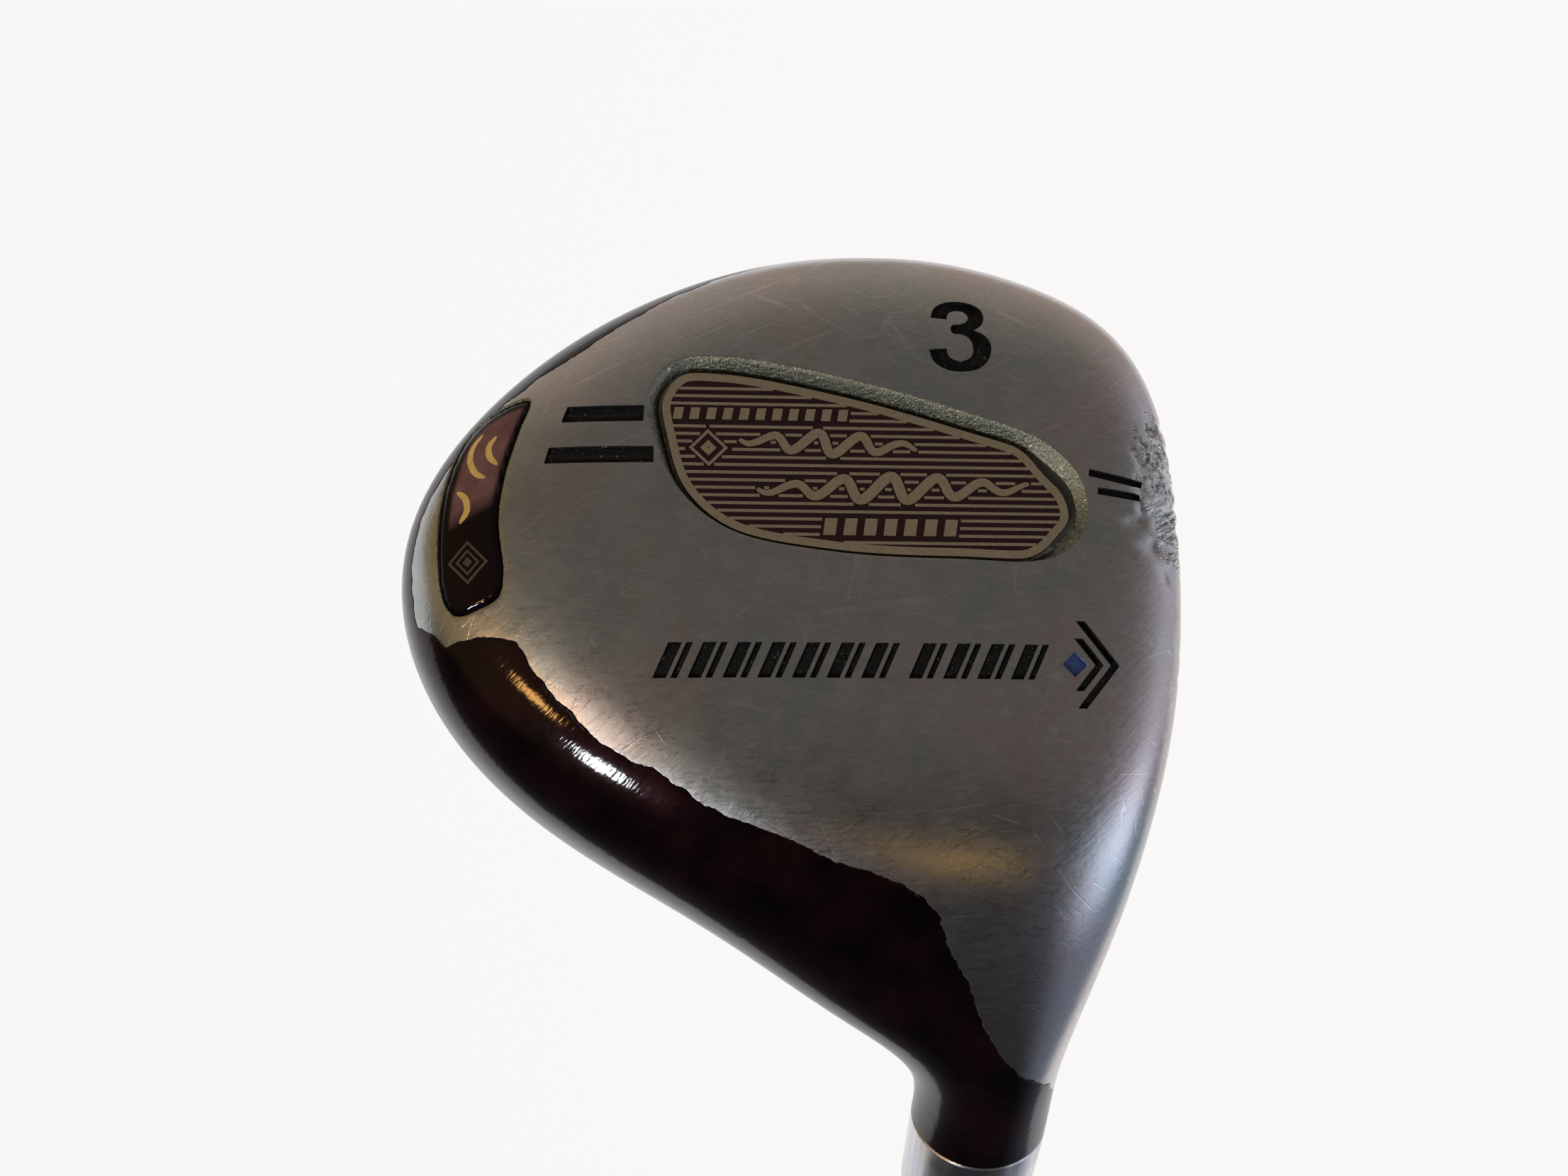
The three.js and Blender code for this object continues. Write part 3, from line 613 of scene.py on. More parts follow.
def inside(points, outline):
    """Which points lie inside an outline."""
    x, y = points[:, 0:1], points[:, 1:2]
    x0, y0 = outline[:, 0][None], outline[:, 1][None]
    x1, y1 = np.roll(outline[:, 0], -1)[None], np.roll(outline[:, 1], -1)[None]
    crosses = (y0 > y) != (y1 > y)
    at = x0 + (y - y0) * (x1 - x0) / np.where(y1 == y0, 1e-12, y1 - y0)
    return (crosses & (x < at)).sum(axis=1) % 2 == 1


def distance_to_line(points, line, closed=True):
    """The distance from each point to a line of straight pieces."""
    a = line if closed else line[:-1]
    b = np.roll(line, -1, axis=0) if closed else line[1:]
    best = np.full(len(points), np.inf)
    for start, end in zip(a, b):
        along = end - start
        t = np.clip(((points - start) @ along) / max(along @ along, 1e-12), 0, 1)
        gap = np.linalg.norm(points - start - t[:, None] * along, axis=1)
        best = np.minimum(best, gap)
    return best


def fill_outline(outline, spacing):
    """Triangles that fill an outline. The outline's own points come first."""
    low, high = outline.min(axis=0), outline.max(axis=0)
    gx = np.arange(low[0] + spacing / 2, high[0], spacing)
    gy = np.arange(low[1] + spacing / 2, high[1], spacing)
    grid = np.stack(np.meshgrid(gx, gy), axis=-1).reshape(-1, 2)
    if len(grid):
        grid = grid[inside(grid, outline)]
    if len(grid):
        grid = grid[distance_to_line(grid, outline) > spacing * 0.6]
    points = np.concatenate([outline, grid]) if len(grid) else outline
    count = len(outline)
    edges = [(i, (i + 1) % count) for i in range(count)]
    filled = delaunay_2d_cdt([Vector(p) for p in points], edges, [list(range(count))], 1, 1e-7)
    triangles = [tuple(filled[3][v][0] for v in face) for face in filled[2]]
    return points, triangles


# ------------------------------------------------------------------ patches of the surface

ABOVE_HEAD = 30.0  # how far outside the patch's plane the surface is looked for


class Patch:
    """A flat frame over a piece of the head's surface, to lay outlines on it."""

    def __init__(self, tree, origin, across, along, out):
        self.tree = tree
        self.origin = Vector(origin)
        self.across = Vector(across)
        self.along = Vector(along)
        self.out = Vector(out)

    def spot(self, u, v):
        """A flat point's place on the frame's own plane."""
        return self.origin + self.across * float(u) + self.along * float(v)

    def surface(self, points):
        """The places on the surface under the flat points."""
        found = []
        for u, v in points:
            start = self.spot(u, v) + self.out * ABOVE_HEAD
            found.append(self.tree.ray_cast(start, -self.out)[0])
        return np.array(found)

    def layer(self, points, depth):
        """The places at a depth under the surface. The depth may differ from point to point."""
        depth = np.broadcast_to(np.asarray(depth, float), (len(points),))
        return self.surface(points) - np.array(self.out) * depth[:, None]

    def slab(self, name, outline, levels, spacing, material):
        """A closed piece between the first and last level, each an inset and a depth.

        A level's inset and depth are numbers, or arrays with one value for each outline point.
        A depth may also be a function of flat points.
        """
        flat, triangles = fill_outline(outline, spacing)
        count = len(outline)
        points, faces, starts = [], [], []
        for index, (shift, depth) in enumerate(levels):
            spots = inset_outline(outline, np.broadcast_to(np.asarray(shift, float), (count,)))
            if index in (0, len(levels) - 1):
                spots = np.concatenate([spots, flat[count:]])
            value = depth(spots) if callable(depth) else np.asarray(depth, float)
            starts.append(sum(len(p) for p in points))
            points.append(self.layer(spots, value))
        top, foot = starts[0], starts[-1]
        for a, b, c in triangles:
            faces += [(top + a, top + b, top + c), (foot + a, foot + c, foot + b)]
        for upper, lower in zip(starts, starts[1:]):
            for i in range(count):
                k = (i + 1) % count
                faces.append((upper + i, lower + i, lower + k, upper + k))
        if self.across.cross(self.along).dot(self.out) < 0:
            faces = [face[::-1] for face in faces]
        return make_object(name, np.concatenate(points), faces, material)


# ------------------------------------------------------------------ outlines on the head (mm)

# The sole pocket, seen in plan.
SOLE_POCKET = [
    (-37, -41), (-34.5, -44.5), (-30, -44.9), (-19, -43), (-7, -39.7), (1.5, -36.6),
    (4.8, -33), (5.1, -28.6), (2, -25.5), (-8, -25.1), (-20, -25.7), (-29.5, -27.7),
    (-34.2, -31.5), (-36.3, -36),
]
POCKET_FLOOR = {"y": -25.0, "z": 1.15, "tilt": math.radians(6.6)}
SOLE_STEP, SOLE_SPACING = 0.5, 1.4  # between points on the outline, and inside it

# The rear pocket: the first number runs to the heel and the second down to the sole.
REAR_POCKET = [
    (-11.2, 4.1), (-7.6, 3.7), (-3.2, 2.9), (1.5, 2.5), (6.5, 3), (8.8, 2.5), (9.9, 0.4),
    (10.3, -1.9), (9, -3.1), (3.2, -3.7), (-3.2, -3.4), (-8.2, -2.2), (-10.3, 0.2),
]
REAR_MIDDLE = Vector((-53.5, -30.5, 5))
REAR_OUT = Vector((-0.52, -0.14, -0.84)).normalized()
REAR_DEPTH = 1.7
REAR_STEP, REAR_SPACING = 0.35, 0.9

# The face plate in the face's own plane: the first number runs to the heel, the second up.
FACE_PLATE = [
    (8, 9), (9, 17), (6, 24), (-6, 27), (-22, 27.5), (-36, 25), (-43, 20), (-45, 13), (-41, 8),
    (-30, 5.5), (-14, 5), (2, 6),
]
FACE_BACK = -5.5
FACE_MARGIN = 2.2  # from the score lines' ends to the plate's edge
SCORE_ROWS = 6
SCORE_FROM = 9.5
SCORE_STEP = 2.8
SCORE_WIDTH = 0.8
SCORE_BLANK = (-27, -9)

# The club number, as smooth runs between its corners. The second number runs to the toe.
NUMBER_PLACE = (-6.55, -47.8)
NUMBER_RUNS = [
    [(-2.7, 1.9), (-2.3, 2.85), (-1.3, 3.48), (0.1, 3.66), (1.35, 3.46), (2.25, 2.88), (2.5, 2.1),
     (2.25, 1.25), (1.4, 0.56)],
    [(1.4, 0.56), (2.4, 0.1), (2.97, -0.65), (3.05, -1.42), (2.7, -2.5), (1.7, -3.45), (0.1, -3.8),
     (-1.5, -3.6), (-2.65, -2.8), (-3.05, -1.6)],
    [(-1.42, -1.5), (-1.2, -2.3), (-0.6, -2.7), (0.05, -2.81), (0.85, -2.5), (1.3, -1.9),
     (1.35, -1.35), (1.2, -0.6), (0.65, 0.0), (0.0, 0.19), (-0.5, 0.19), (-0.72, 0.4), (-0.78, 0.68),
     (-0.7, 0.95), (-0.45, 1.1), (0.1, 1.13)],
    [(0.1, 1.13), (0.75, 1.4), (1.05, 1.9), (0.78, 2.46), (0.2, 2.68), (-0.6, 2.62), (-1.05, 2.3),
     (-1.2, 1.75)],
]

# Where the dark paint of the heel side ends, from the rear skirt to the front of the neck.
PAINT_LINE = [
    (-90, -22), (-58.4, -19.6), (-56.2, -17.4), (-55.2, -17.7), (-51.7, -17.8), (-49.8, -17.3),
    (-47.7, -13.8), (-45.2, -11), (-43.6, -9.2), (-41.7, -7.4), (-38.7, -5.5), (-37.1, -5.1),
    (-32.4, -1.9), (-29.7, -0.5), (-23.1, 2.2), (-19.5, 3.8), (-16.7, 4.6), (-14.8, 5.3),
    (-13, 5.9), (-11.1, 7), (-9.6, 8.7), (-8.5, 10.4), (-7.7, 12), (-6, 14.7), (-3.8, 18),
    (-1.8, 20.3), (-0.4, 21.8), (1, 22.8), (3, 23.2), (7, 23.4), (60, 24),
]

# How high the bare skirt reaches, by the direction from the head's middle, in degrees:
# -90 is the toe and 180 the rear.
SKIRT_MIDDLE = (-20.0, -20.0)
SKIRT_TOP = [
    (-180, 9.6), (-165, 8.9), (-152, 7.6), (-142, 7.0), (-132, 6.0), (-121, 6.1), (-108, 6.9),
    (-98, 7.9), (-88, 10.5), (-76, 15.5), (-64, 21), (-50, 26), (-30, 30), (0, 33), (90, 33),
    (150, 12), (180, 9.6),
]


def paint_distance(points):
    """How far each point is inside the painted parts, in millimetres; less than 0 is bare."""
    line = np.array(PAINT_LINE, float)
    plan = points[:, :2]
    away = distance_to_line(plan, line, closed=False)
    painted_side = np.concatenate([line, [[60, 90], [-90, 90]]])
    heel = np.where(inside(plan, painted_side), away, -away)
    heading = np.degrees(np.arctan2(plan[:, 1] - SKIRT_MIDDLE[1], plan[:, 0] - SKIRT_MIDDLE[0]))
    table = np.array(SKIRT_TOP, float)
    above = points[:, 2] - np.interp(heading, table[:, 0], table[:, 1])
    return np.maximum(heel, above)


def store(made, name, values):
    """Keeps a number on each point of a mesh, for its finish."""
    attribute = made.data.attributes.new(name, "FLOAT", "POINT")
    attribute.data.foreach_set("value", values.astype(np.float32))


# ------------------------------------------------------------------ head pieces

def sole_patch(tree):
    """The sole in plan: the first number runs to the face and the second to the heel."""
    return Patch(tree, (0, 0, -20), (1, 0, 0), (0, 1, 0), (0, 0, -1))


def rear_patch(tree):
    along = Vector((0, 1, 0))
    along = (along - REAR_OUT * along.dot(REAR_OUT)).normalized()
    return Patch(tree, REAR_MIDDLE, along, REAR_OUT.cross(along), REAR_OUT)


def face_patch(tree):
    along = (-math.sin(LOFT), 0, math.cos(LOFT))
    return Patch(tree, (15.4, 0, 4), (0, 1, 0), along, (math.cos(LOFT), 0, math.sin(LOFT)))


def pocket_floor(points):
    """The height of the sole pocket's floor, which lies deeper towards the toe."""
    return POCKET_FLOOR["z"] - (points[:, 1] - POCKET_FLOOR["y"]) * math.tan(POCKET_FLOOR["tilt"])


def floor_depth(patch, lift):
    """The depth under the sole of a level that lies a step above the pocket's floor."""
    return lambda spots: pocket_floor(spots) + lift - patch.surface(spots)[:, 2]


def pocket_share(outline):
    """1 where the pocket is deepest, at its toe side, and 0 at its heel side."""
    share = np.clip((-27.0 - outline[:, 1]) / 12.0, 0, 1)
    return share**2 * (3 - 2 * share)


def front_share(outline):
    """1 at the pocket's end towards the face."""
    share = np.clip((outline[:, 0] + 1.5) / 5.5, 0, 1)
    return share**2 * (3 - 2 * share)


def number_outline():
    runs = [catmull_rom(run, closed=False, per_span=5) for run in NUMBER_RUNS]
    return np.array(NUMBER_PLACE) + np.concatenate(runs) * (1, -1)


def bar(x0, x1, y0, y1, slant=0.0):
    """A bar between four edges. The slant shifts its side at y0 along x."""
    return np.array([(x0, y1), (x1, y1), (x1 + slant, y0), (x0 + slant, y0)], float)


def mark_row():
    """A row of slanted strokes, a broad one and a slim one in turn, with one wider space."""
    toe, heel, slant = -16.7, -13.4, 1.5
    first, step, count, space_after, space = -37.0, 3.3, 11, 6, 1.3
    broad, gap, slim = 1.15, 0.55, 0.5
    marks = []
    for index in range(count):
        x = first + index * step + (space if index > space_after else 0)
        marks.append(bar(x, x + broad, toe, heel, slant))
        marks.append(bar(x + broad + gap, x + broad + gap + slim, toe, heel, slant))
    return marks


def chevron(x, y, reach, width):
    """An arrow head that points to the face."""
    return np.array([
        (x, y - reach), (x + width, y - reach), (x + width + reach * 0.8, y), (x + width, y + reach),
        (x, y + reach), (x + reach * 0.8, y),
    ])


def engraved_outlines():
    """The marks cut in the sole: two pairs of slots, the row of strokes and two chevrons."""
    slots = [
        np.array([(-44.75, -40.2), (-37.6, -40.1), (-37.7, -38.6), (-45.35, -38.7)]),
        np.array([(-46.6, -36), (-36.8, -35.9), (-36.8, -34.4), (-47.05, -34.5)]),
        np.array([(5.8, -34.3), (11.2, -33.3), (11.1, -32.7), (5.7, -33.7)]),
        np.array([(6.6, -32.5), (10.9, -32.0), (10.85, -31.4), (6.55, -31.9)]),
    ]
    arrows = [chevron(3.9, -14.9, 4.2, 0.75), chevron(3.7, -14.9, 2.5, 0.7)]
    return slots + mark_row() + arrows


DIAMOND = np.array([(2.4, -14.9), (3.6, -16.1), (4.8, -14.9), (3.6, -13.7)])

# Groups of nicks on the leading edge: count, middle, spread, half width and length, depth.
NICKS = [
    (80, (13.1, -33.0), (1.0, 3.6), (0.40, 0.75), 0.34),
    (30, (14.4, -24.0), (0.6, 9.0), (0.30, 0.45), 0.10),
]
NICKS_BELOW = 12.0
INSIDE_FACE = np.array([13.0, -33.0, 15.0])  # a point well inside the head, behind the nicks


def wear(rings):
    """Nicks along the leading edge, pressed into the form before it is cut."""
    random = np.random.default_rng(3)
    normals = np.cross(np.gradient(rings, axis=0), np.gradient(rings, axis=1))
    normals /= np.maximum(np.linalg.norm(normals, axis=-1, keepdims=True), 1e-9)
    press = np.zeros(rings.shape[:2])
    for count, middle, spread, size, depth in NICKS:
        for _ in range(count):
            x, y = np.array(middle) + random.normal(size=2) * spread
            turn = random.normal() * 0.5 + 0.4
            along, across = size[1] * random.uniform(0.7, 1.7), size[0] * random.uniform(0.6, 1.3)
            dx, dy = rings[..., 0] - x, rings[..., 1] - y
            u = dx * math.cos(turn) + dy * math.sin(turn)
            v = dy * math.cos(turn) - dx * math.sin(turn)
            pit = np.exp(-((u / along) ** 2 + (v / across) ** 2))
            press = np.maximum(press, pit * depth * random.uniform(0.4, 1.0))
    press *= rings[..., 2] < NICKS_BELOW
    toward = INSIDE_FACE - rings
    toward /= np.linalg.norm(toward, axis=-1, keepdims=True)
    inward = np.where((normals * toward).sum(axis=-1, keepdims=True) > 0, normals, -normals)
    return rings + inward * press[..., None]


def sink(body, patch, outline, levels, spacing, material):
    """Cuts a hollow in the surface, down through its levels."""
    cutter = patch.slab("cutter", outline, levels, spacing, material)
    combine(body, cutter, "DIFFERENCE")
    remove(cutter)


def engrave(body, patch, outline, depth, material):
    """Cuts a mark with steep walls and a slightly broken edge, lined with its fill."""
    levels = [(-0.1, -0.6), (-0.07, -0.01), (0.0, 0.06), (0.05, depth)]
    sink(body, patch, counterclockwise(outline), levels, 0.45, material)


def build_head(finishes):
    """The body, crown, face plate and neck, with their pockets and marks cut in."""
    shape = loft(toe_spacing(HEAD_RINGS), HEAD_AROUND, shape=wear)
    body = make_object("outer", *shape, finishes["sole"])
    plain = loft(toe_spacing(PLAIN_RINGS), PLAIN_AROUND)
    tree = BVHTree.FromPolygons([Vector(p) for p in plain[0]], plain[1])
    sole, rear = sole_patch(tree), rear_patch(tree)

    neck_block = half_space(SHAFT_AXIS * NECK_FROM, SHAFT_AXIS, finishes["seam"])
    neck = copy_of(body, "neck")
    combine(neck, neck_block, "DIFFERENCE")
    combine(body, neck_block, "INTERSECT")
    bore_neck(body, neck, finishes["inside"])

    cavity_s = np.linspace(CAVITY["from"], CAVITY["to"], CAVITY["rings"])
    cavity = make_object("cavity", *loft(cavity_s, CAVITY["around"], WALLS), finishes["inside"])
    combine(body, cavity, "DIFFERENCE")
    face = cut_face(body, face_patch(tree), finishes)

    tilt = Vector((-math.sin(PARTING_TILT), 0, math.cos(PARTING_TILT)))
    rear_edge = Vector(PARTING_REAR)
    low_block = half_space(rear_edge - tilt * SEAM / 2, tilt, finishes["seam"])
    high_block = half_space(rear_edge + tilt * SEAM / 2, tilt, finishes["seam"])
    crown = copy_of(body, "crown")
    combine(crown, high_block, "DIFFERENCE")
    combine(body, low_block, "INTERSECT")
    remove(neck_block, cavity, low_block, high_block)

    cut_pockets(body, sole, rear, finishes["pocket"])
    engrave(body, sole, number_outline(), 0.55, finishes["fill"])
    for outline in engraved_outlines():
        engrave(body, sole, outline, 0.5, finishes["fill"])
    engrave(body, sole, DIAMOND, 0.4, finishes["blue"])
    for made in (body, crown, neck):
        points = np.array([vertex.co for vertex in made.data.vertices], np.float32)
        store(made, "paint", paint_distance(points))
    return body, crown, neck, face, sole, rear


def axis_bar(radius, start, end, material):
    """A round bar on the shaft axis between two distances from the ground point."""
    made = lathe("bar", [(0, start), (radius, start), (radius, end), (0, end)], 96, material)
    made.data.transform(Matrix.Rotation(LIE - math.pi / 2, 4, "X") @ Matrix.Scale(1 / MM, 4))
    return made


def bore_neck(body, neck, material):
    """The neck's spigot, its socket in the body and the bore for the shaft."""
    for target, operation, radius, start, end in (
        (body, "DIFFERENCE", SPIGOT_RADIUS + SEAM, SPIGOT_BOTTOM - SEAM, NECK_TOP),
        (neck, "UNION", SPIGOT_RADIUS, SPIGOT_BOTTOM, NECK_FROM + 2),
        (neck, "DIFFERENCE", BORE_RADIUS, BORE_BOTTOM, NECK_TOP + 5),
    ):
        tool = axis_bar(radius, start, end, material)
        combine(target, tool, operation)
        remove(tool)


def prism(patch, outline, back, material):
    """An outline pushed along a patch's outward direction, from an offset to clear of the head."""
    count = len(outline)
    flat = [patch.spot(u, v) for u, v in outline]
    points = [p + patch.out * back for p in flat] + [p + patch.out * ABOVE_HEAD for p in flat]
    faces = [tuple(range(count)), tuple(range(2 * count - 1, count - 1, -1))] + tube(2, count)
    return outward(make_object("prism", points, faces, material))


def cut_face(body, patch, finishes):
    """The face plate, let into the body with a hairline seam, and its score lines."""
    outline = resample(catmull_rom(FACE_PLATE, closed=True), 0.8)
    block = prism(patch, inset_outline(outline, SEAM / 2), FACE_BACK, finishes["seam"])
    hole = prism(patch, inset_outline(outline, -SEAM / 2), FACE_BACK - 4, finishes["seam"])
    plate = copy_of(body, "face")
    plate.data.materials.clear()
    plate.data.materials.append(finishes["face"])
    combine(plate, block, "INTERSECT")
    combine(body, hole, "DIFFERENCE")
    remove(block, hole)
    inner = inset_outline(outline, FACE_MARGIN)
    for row in range(SCORE_ROWS):
        v = SCORE_FROM + row * SCORE_STEP
        for u0, u1 in crossings(inner, v):
            for a, b in ((u0, SCORE_BLANK[0]), (SCORE_BLANK[1], u1)):
                if b - a > 2:
                    line = resample_sides(bar(a, b, v - SCORE_WIDTH / 2, v + SCORE_WIDTH / 2), 2.0)
                    engrave(plate, patch, line, 0.3, finishes["fill"])
    return plate


def cut_pockets(body, sole, rear, material):
    """The two badge pockets: the sole's has sloping walls and a rolled lip."""
    outline = resample(catmull_rom(SOLE_POCKET, closed=True), SOLE_STEP)
    share = pocket_share(outline)
    draft = 0.1 + 1.0 * share + 0.9 * front_share(outline)
    lip = 0.12 + 0.18 * share
    depth = floor_depth(sole, 0.0)(outline)
    levels = [
        (-lip * 1.15, -0.8), (-lip * 1.15, -0.02), (-lip * 0.6, lip * 0.12), (-lip * 0.15, lip * 0.5),
        (draft * 0.15, lip * 0.5 + depth * 0.15), (draft, floor_depth(sole, 0.0)),
    ]
    sink(body, sole, outline, levels, SOLE_SPACING, material)
    outline = resample(catmull_rom(REAR_POCKET, closed=True), REAR_STEP)
    levels = [(-0.3, -0.8), (-0.3, -0.01), (-0.12, 0.06), (0.0, 0.3), (0.05, REAR_DEPTH)]
    sink(body, rear, outline, levels, REAR_SPACING, material)


# ------------------------------------------------------------------ finishes

STEEL = (0.345, 0.335, 0.325, 1)
STEEL_WARM = (0.385, 0.335, 0.315, 1)
STEEL_COOL = (0.310, 0.330, 0.315, 1)
SCRATCH_TURNS = (0.15, 0.55, -0.45, 0.72, -0.95, 1.2)
HAIRLINE_TURNS = (-0.55, 0.42, -0.40)
PAINT = (0.0024, 0.0010, 0.0010, 1)
PAINT_GLOW = (0.0095, 0.0026, 0.0032, 1)
PAINT_METAL = 0.35
PAINT_ROUGH = 0.34
COAT = 0.42

# The torn stretch of the leading edge: middle, half length and half width, and its direction.
WORN_MIDDLE = (13.9, -32.3, 0.0)
WORN_REACH = (6.9, 2.5)
WORN_TURN = math.radians(-77)


def worn_edge(n, place):
    """How torn the leading edge is, from 0 to 1, and the torn relief."""
    away = n.vector_math("SUBTRACT", place, WORN_MIDDLE)
    local = n.stretch(away, (1 / WORN_REACH[0], 1 / WORN_REACH[1], 0.03), WORN_TURN)
    ragged = n.between(n.noise(place, 0.8, 4.0, 0.7), 0.3, 0.7, -0.35, 0.35)
    torn = n.between(n.math("ADD", n.vector_math("LENGTH", local), ragged), 1.02, 0.92)
    pits = n.noise(place, 1.6, 4.0, 0.75)
    strokes = n.noise(n.stretch(place, (0.35, 3.6, 1.0), 0.5), 1.0, 3.0, 0.7)
    relief = n.mix_number(n.between(n.axes(local)["X"], -0.1, 0.25), pits, strokes)
    return torn, relief


def head_finish(name):
    """Brushed cast steel, with dark metallic paint where the paint distance is above 0."""
    n = Finish(name)
    place = n.head_mm()
    stored = n.node("ShaderNodeAttribute", attribute_name="paint").outputs["Fac"]
    ragged = n.between(n.noise(place, 0.42, 3.0, 0.55), 0.2, 0.8, -0.36, 0.36, smooth=False)
    edge = n.math("ADD", stored, ragged)
    painted = n.between(edge, -0.04, 0.04)

    broad = n.noise(place, 0.055, 2.0)
    cloud = n.noise(place, 0.28, 4.0, 0.65)
    grain = n.noise(n.stretch(place, (0.5, 3.4, 2.0), 0.05), 1.0, 3.0, 0.7)
    speck = n.noise(place, 5.0, 3.0, 0.75)
    marks = [n.scratches(place, turn, i, 0.011, 0.59) for i, turn in enumerate(SCRATCH_TURNS, 1)]
    marks += [n.hairlines(place, turn, i) for i, turn in enumerate(HAIRLINE_TURNS, 1)]
    lines = functools.reduce(lambda a, b: n.math("MAXIMUM", a, b), marks)
    torn, relief = worn_edge(n, place)

    steel = n.mix(n.between(broad, 0.38, 0.62), STEEL_COOL, STEEL_WARM)
    steel = n.mix(n.between(cloud, 0.38, 0.62, 0.0, 0.7), steel, STEEL)
    shade = n.vary(cloud, 0.955, 1.045)
    for factor in (
        n.vary(grain, 0.95, 1.06),
        n.vary(speck, 0.90, 1.10),
        n.between(lines, 0.0, 1.0, 1.0, 1.20),
        # In the torn stretch the colour follows the relief: darker in its low parts, which is painted
        # shade, and paler on its raised parts.
        n.mix_number(torn, 1.0, n.between(relief, 0.36, 0.60, 0.25, 1.9)),
    ):
        shade = n.math("MULTIPLY", shade, factor)
    steel_rough = n.math("ADD", n.between(cloud, 0.3, 0.7, 0.270, 0.295), n.vary(grain, -0.02, 0.03))
    steel_rough = n.math("SUBTRACT", steel_rough, n.math("MULTIPLY", lines, 0.05))

    flake = n.between(n.noise(place, 14.0, 2.0, 0.7), 0.35, 0.65, 0.6, 1.5, smooth=False)
    paint = n.mix(n.between(n.noise(place, 0.16, 3.0), 0.35, 0.7), PAINT, PAINT_GLOW)
    paint = n.vector_math("MULTIPLY", paint, flake)
    n.set(
        Base_Color=n.mix(painted, n.vector_math("MULTIPLY", steel, shade), paint),
        Metallic=n.mix_number(painted, 1.0, PAINT_METAL),
        Roughness=n.mix_number(painted, steel_rough, PAINT_ROUGH),
        Coat_Weight=n.math("MULTIPLY", painted, COAT),
        Coat_Roughness=0.075, Coat_IOR=1.5, Specular_IOR_Level=0.0,
    )

    brushed = n.math("ADD", n.math("MULTIPLY", grain, 0.5), n.math("MULTIPLY", speck, 0.5))
    brushed = n.math("SUBTRACT", brushed, n.math("MULTIPLY", lines, 0.45))
    bare = n.math("SUBTRACT", 1.0, painted)
    steel_bump = n.bump(n.math("MULTIPLY", brushed, bare), 0.013, 0.9)
    steel_bump = n.bump(n.math("MULTIPLY", relief, torn), 0.5, 0.9, base=steel_bump)
    peel = n.noise(place, 0.6, 2.0)
    wipe = n.noise(n.stretch(place, (0.22, 2.4, 0.9), 0.75), 1.0, 2.0, 0.6)
    film = n.math("ADD", n.between(edge, -0.02, 0.25), n.math("MULTIPLY", peel, 0.36))
    film = n.math("ADD", film, n.math("MULTIPLY", wipe, 0.30))
    n.set(Normal=n.bump(film, 0.06, 0.9, base=steel_bump), Coat_Normal=n.bump(film, 0.06, 0.9))
    return n.material


def grainy_finish(name, colour, metallic, rough, scale, depth_mm, **other):
    """A finish with a fine grain. Flecks, if given, are a second colour in sparse spots."""
    n = Finish(name)
    place = n.head_mm()
    grain = n.noise(place, scale, 4.0, 0.65)
    spread = other.get("spread", 0.25)
    shade = n.between(grain, 0.25, 0.75, 1 - spread, 1 + spread, smooth=False)
    shaded = n.vector_math("MULTIPLY", colour, shade)
    if "flecks" in other:
        spots = n.between(n.noise(place, scale * 0.6, 3.0, 0.7), 0.64, 0.70)
        shaded = n.mix(spots, shaded, other["flecks"])
        metallic = n.mix_number(spots, metallic, 0.9)
    n.set(
        Base_Color=shaded, Metallic=metallic, Roughness=n.vary(grain, rough * 0.85, rough * 1.15),
        Coat_Weight=other.get("coat", 0.0), Coat_Roughness=0.03,
        Specular_IOR_Level=other.get("gloss", 0.5), Normal=n.bump(grain, depth_mm),
    )
    return n.material


def blasted_finish(name):
    """The face: fine blasted steel with faint marks from play."""
    n = Finish(name)
    place = n.head_mm()
    fine = n.noise(place, 3.4, 3.0, 0.7)
    broad = n.between(n.noise(place, 0.12, 3.0), 0.35, 0.65)
    rub = n.scratches(place, 0.9, 8)
    rough = n.math("SUBTRACT", n.vary(fine, 0.40, 0.52), n.math("MULTIPLY", rub, 0.15))
    n.set(
        Base_Color=n.mix(broad, (0.36, 0.36, 0.37, 1), (0.46, 0.45, 0.44, 1)),
        Metallic=1.0, Roughness=rough, Normal=n.bump(n.math("SUBTRACT", fine, rub), 0.02),
    )
    return n.material


def chrome_finish(name, rough, streak, dark, light):
    """Plated or polished steel, with fine marks that run along the shaft."""
    n = Finish(name)
    place = n.row_mm()
    long_marks = n.noise(n.stretch(place, (0.9, 0.9, 0.02)), 1.0, 4.0, 0.65)
    cloud = n.noise(place, 0.2, 3.0)
    both = n.math("ADD", n.math("MULTIPLY", cloud, 0.4), n.math("MULTIPLY", long_marks, 0.6))
    n.set(
        Base_Color=n.mix(n.between(both, 0.38, 0.62), dark, light), Metallic=1.0,
        Roughness=n.between(cloud, 0.3, 0.7, rough * 0.8, rough * 1.3),
        Normal=n.bump(long_marks, streak),
    )
    return n.material


def lens_finish(name):
    """A clear dome over near-black, with a dull red painted reflection where the stored value is 1."""
    n = Finish(name)
    place = n.head_mm()
    stored = n.node("ShaderNodeAttribute", attribute_name="painted_reflection").outputs["Fac"]
    cloud = n.between(n.noise(place, 0.5, 3.0), 0.3, 0.7)
    # A painted reflection: a dull red patch put into the dome's own colour.
    painted_reflection = n.mix(cloud, (0.105, 0.048, 0.045, 1), (0.155, 0.078, 0.070, 1))
    n.set(
        Base_Color=n.mix(stored, (0.004, 0.0015, 0.002, 1), painted_reflection), Metallic=0.0,
        Roughness=n.vary(n.noise(place, 9.0, 2.0), 0.06, 0.10), Specular_IOR_Level=0.06,
        Coat_Weight=0.17, Coat_Roughness=0.03, Normal=n.bump(n.noise(place, 0.5, 2.0), 0.02),
    )
    return n.material


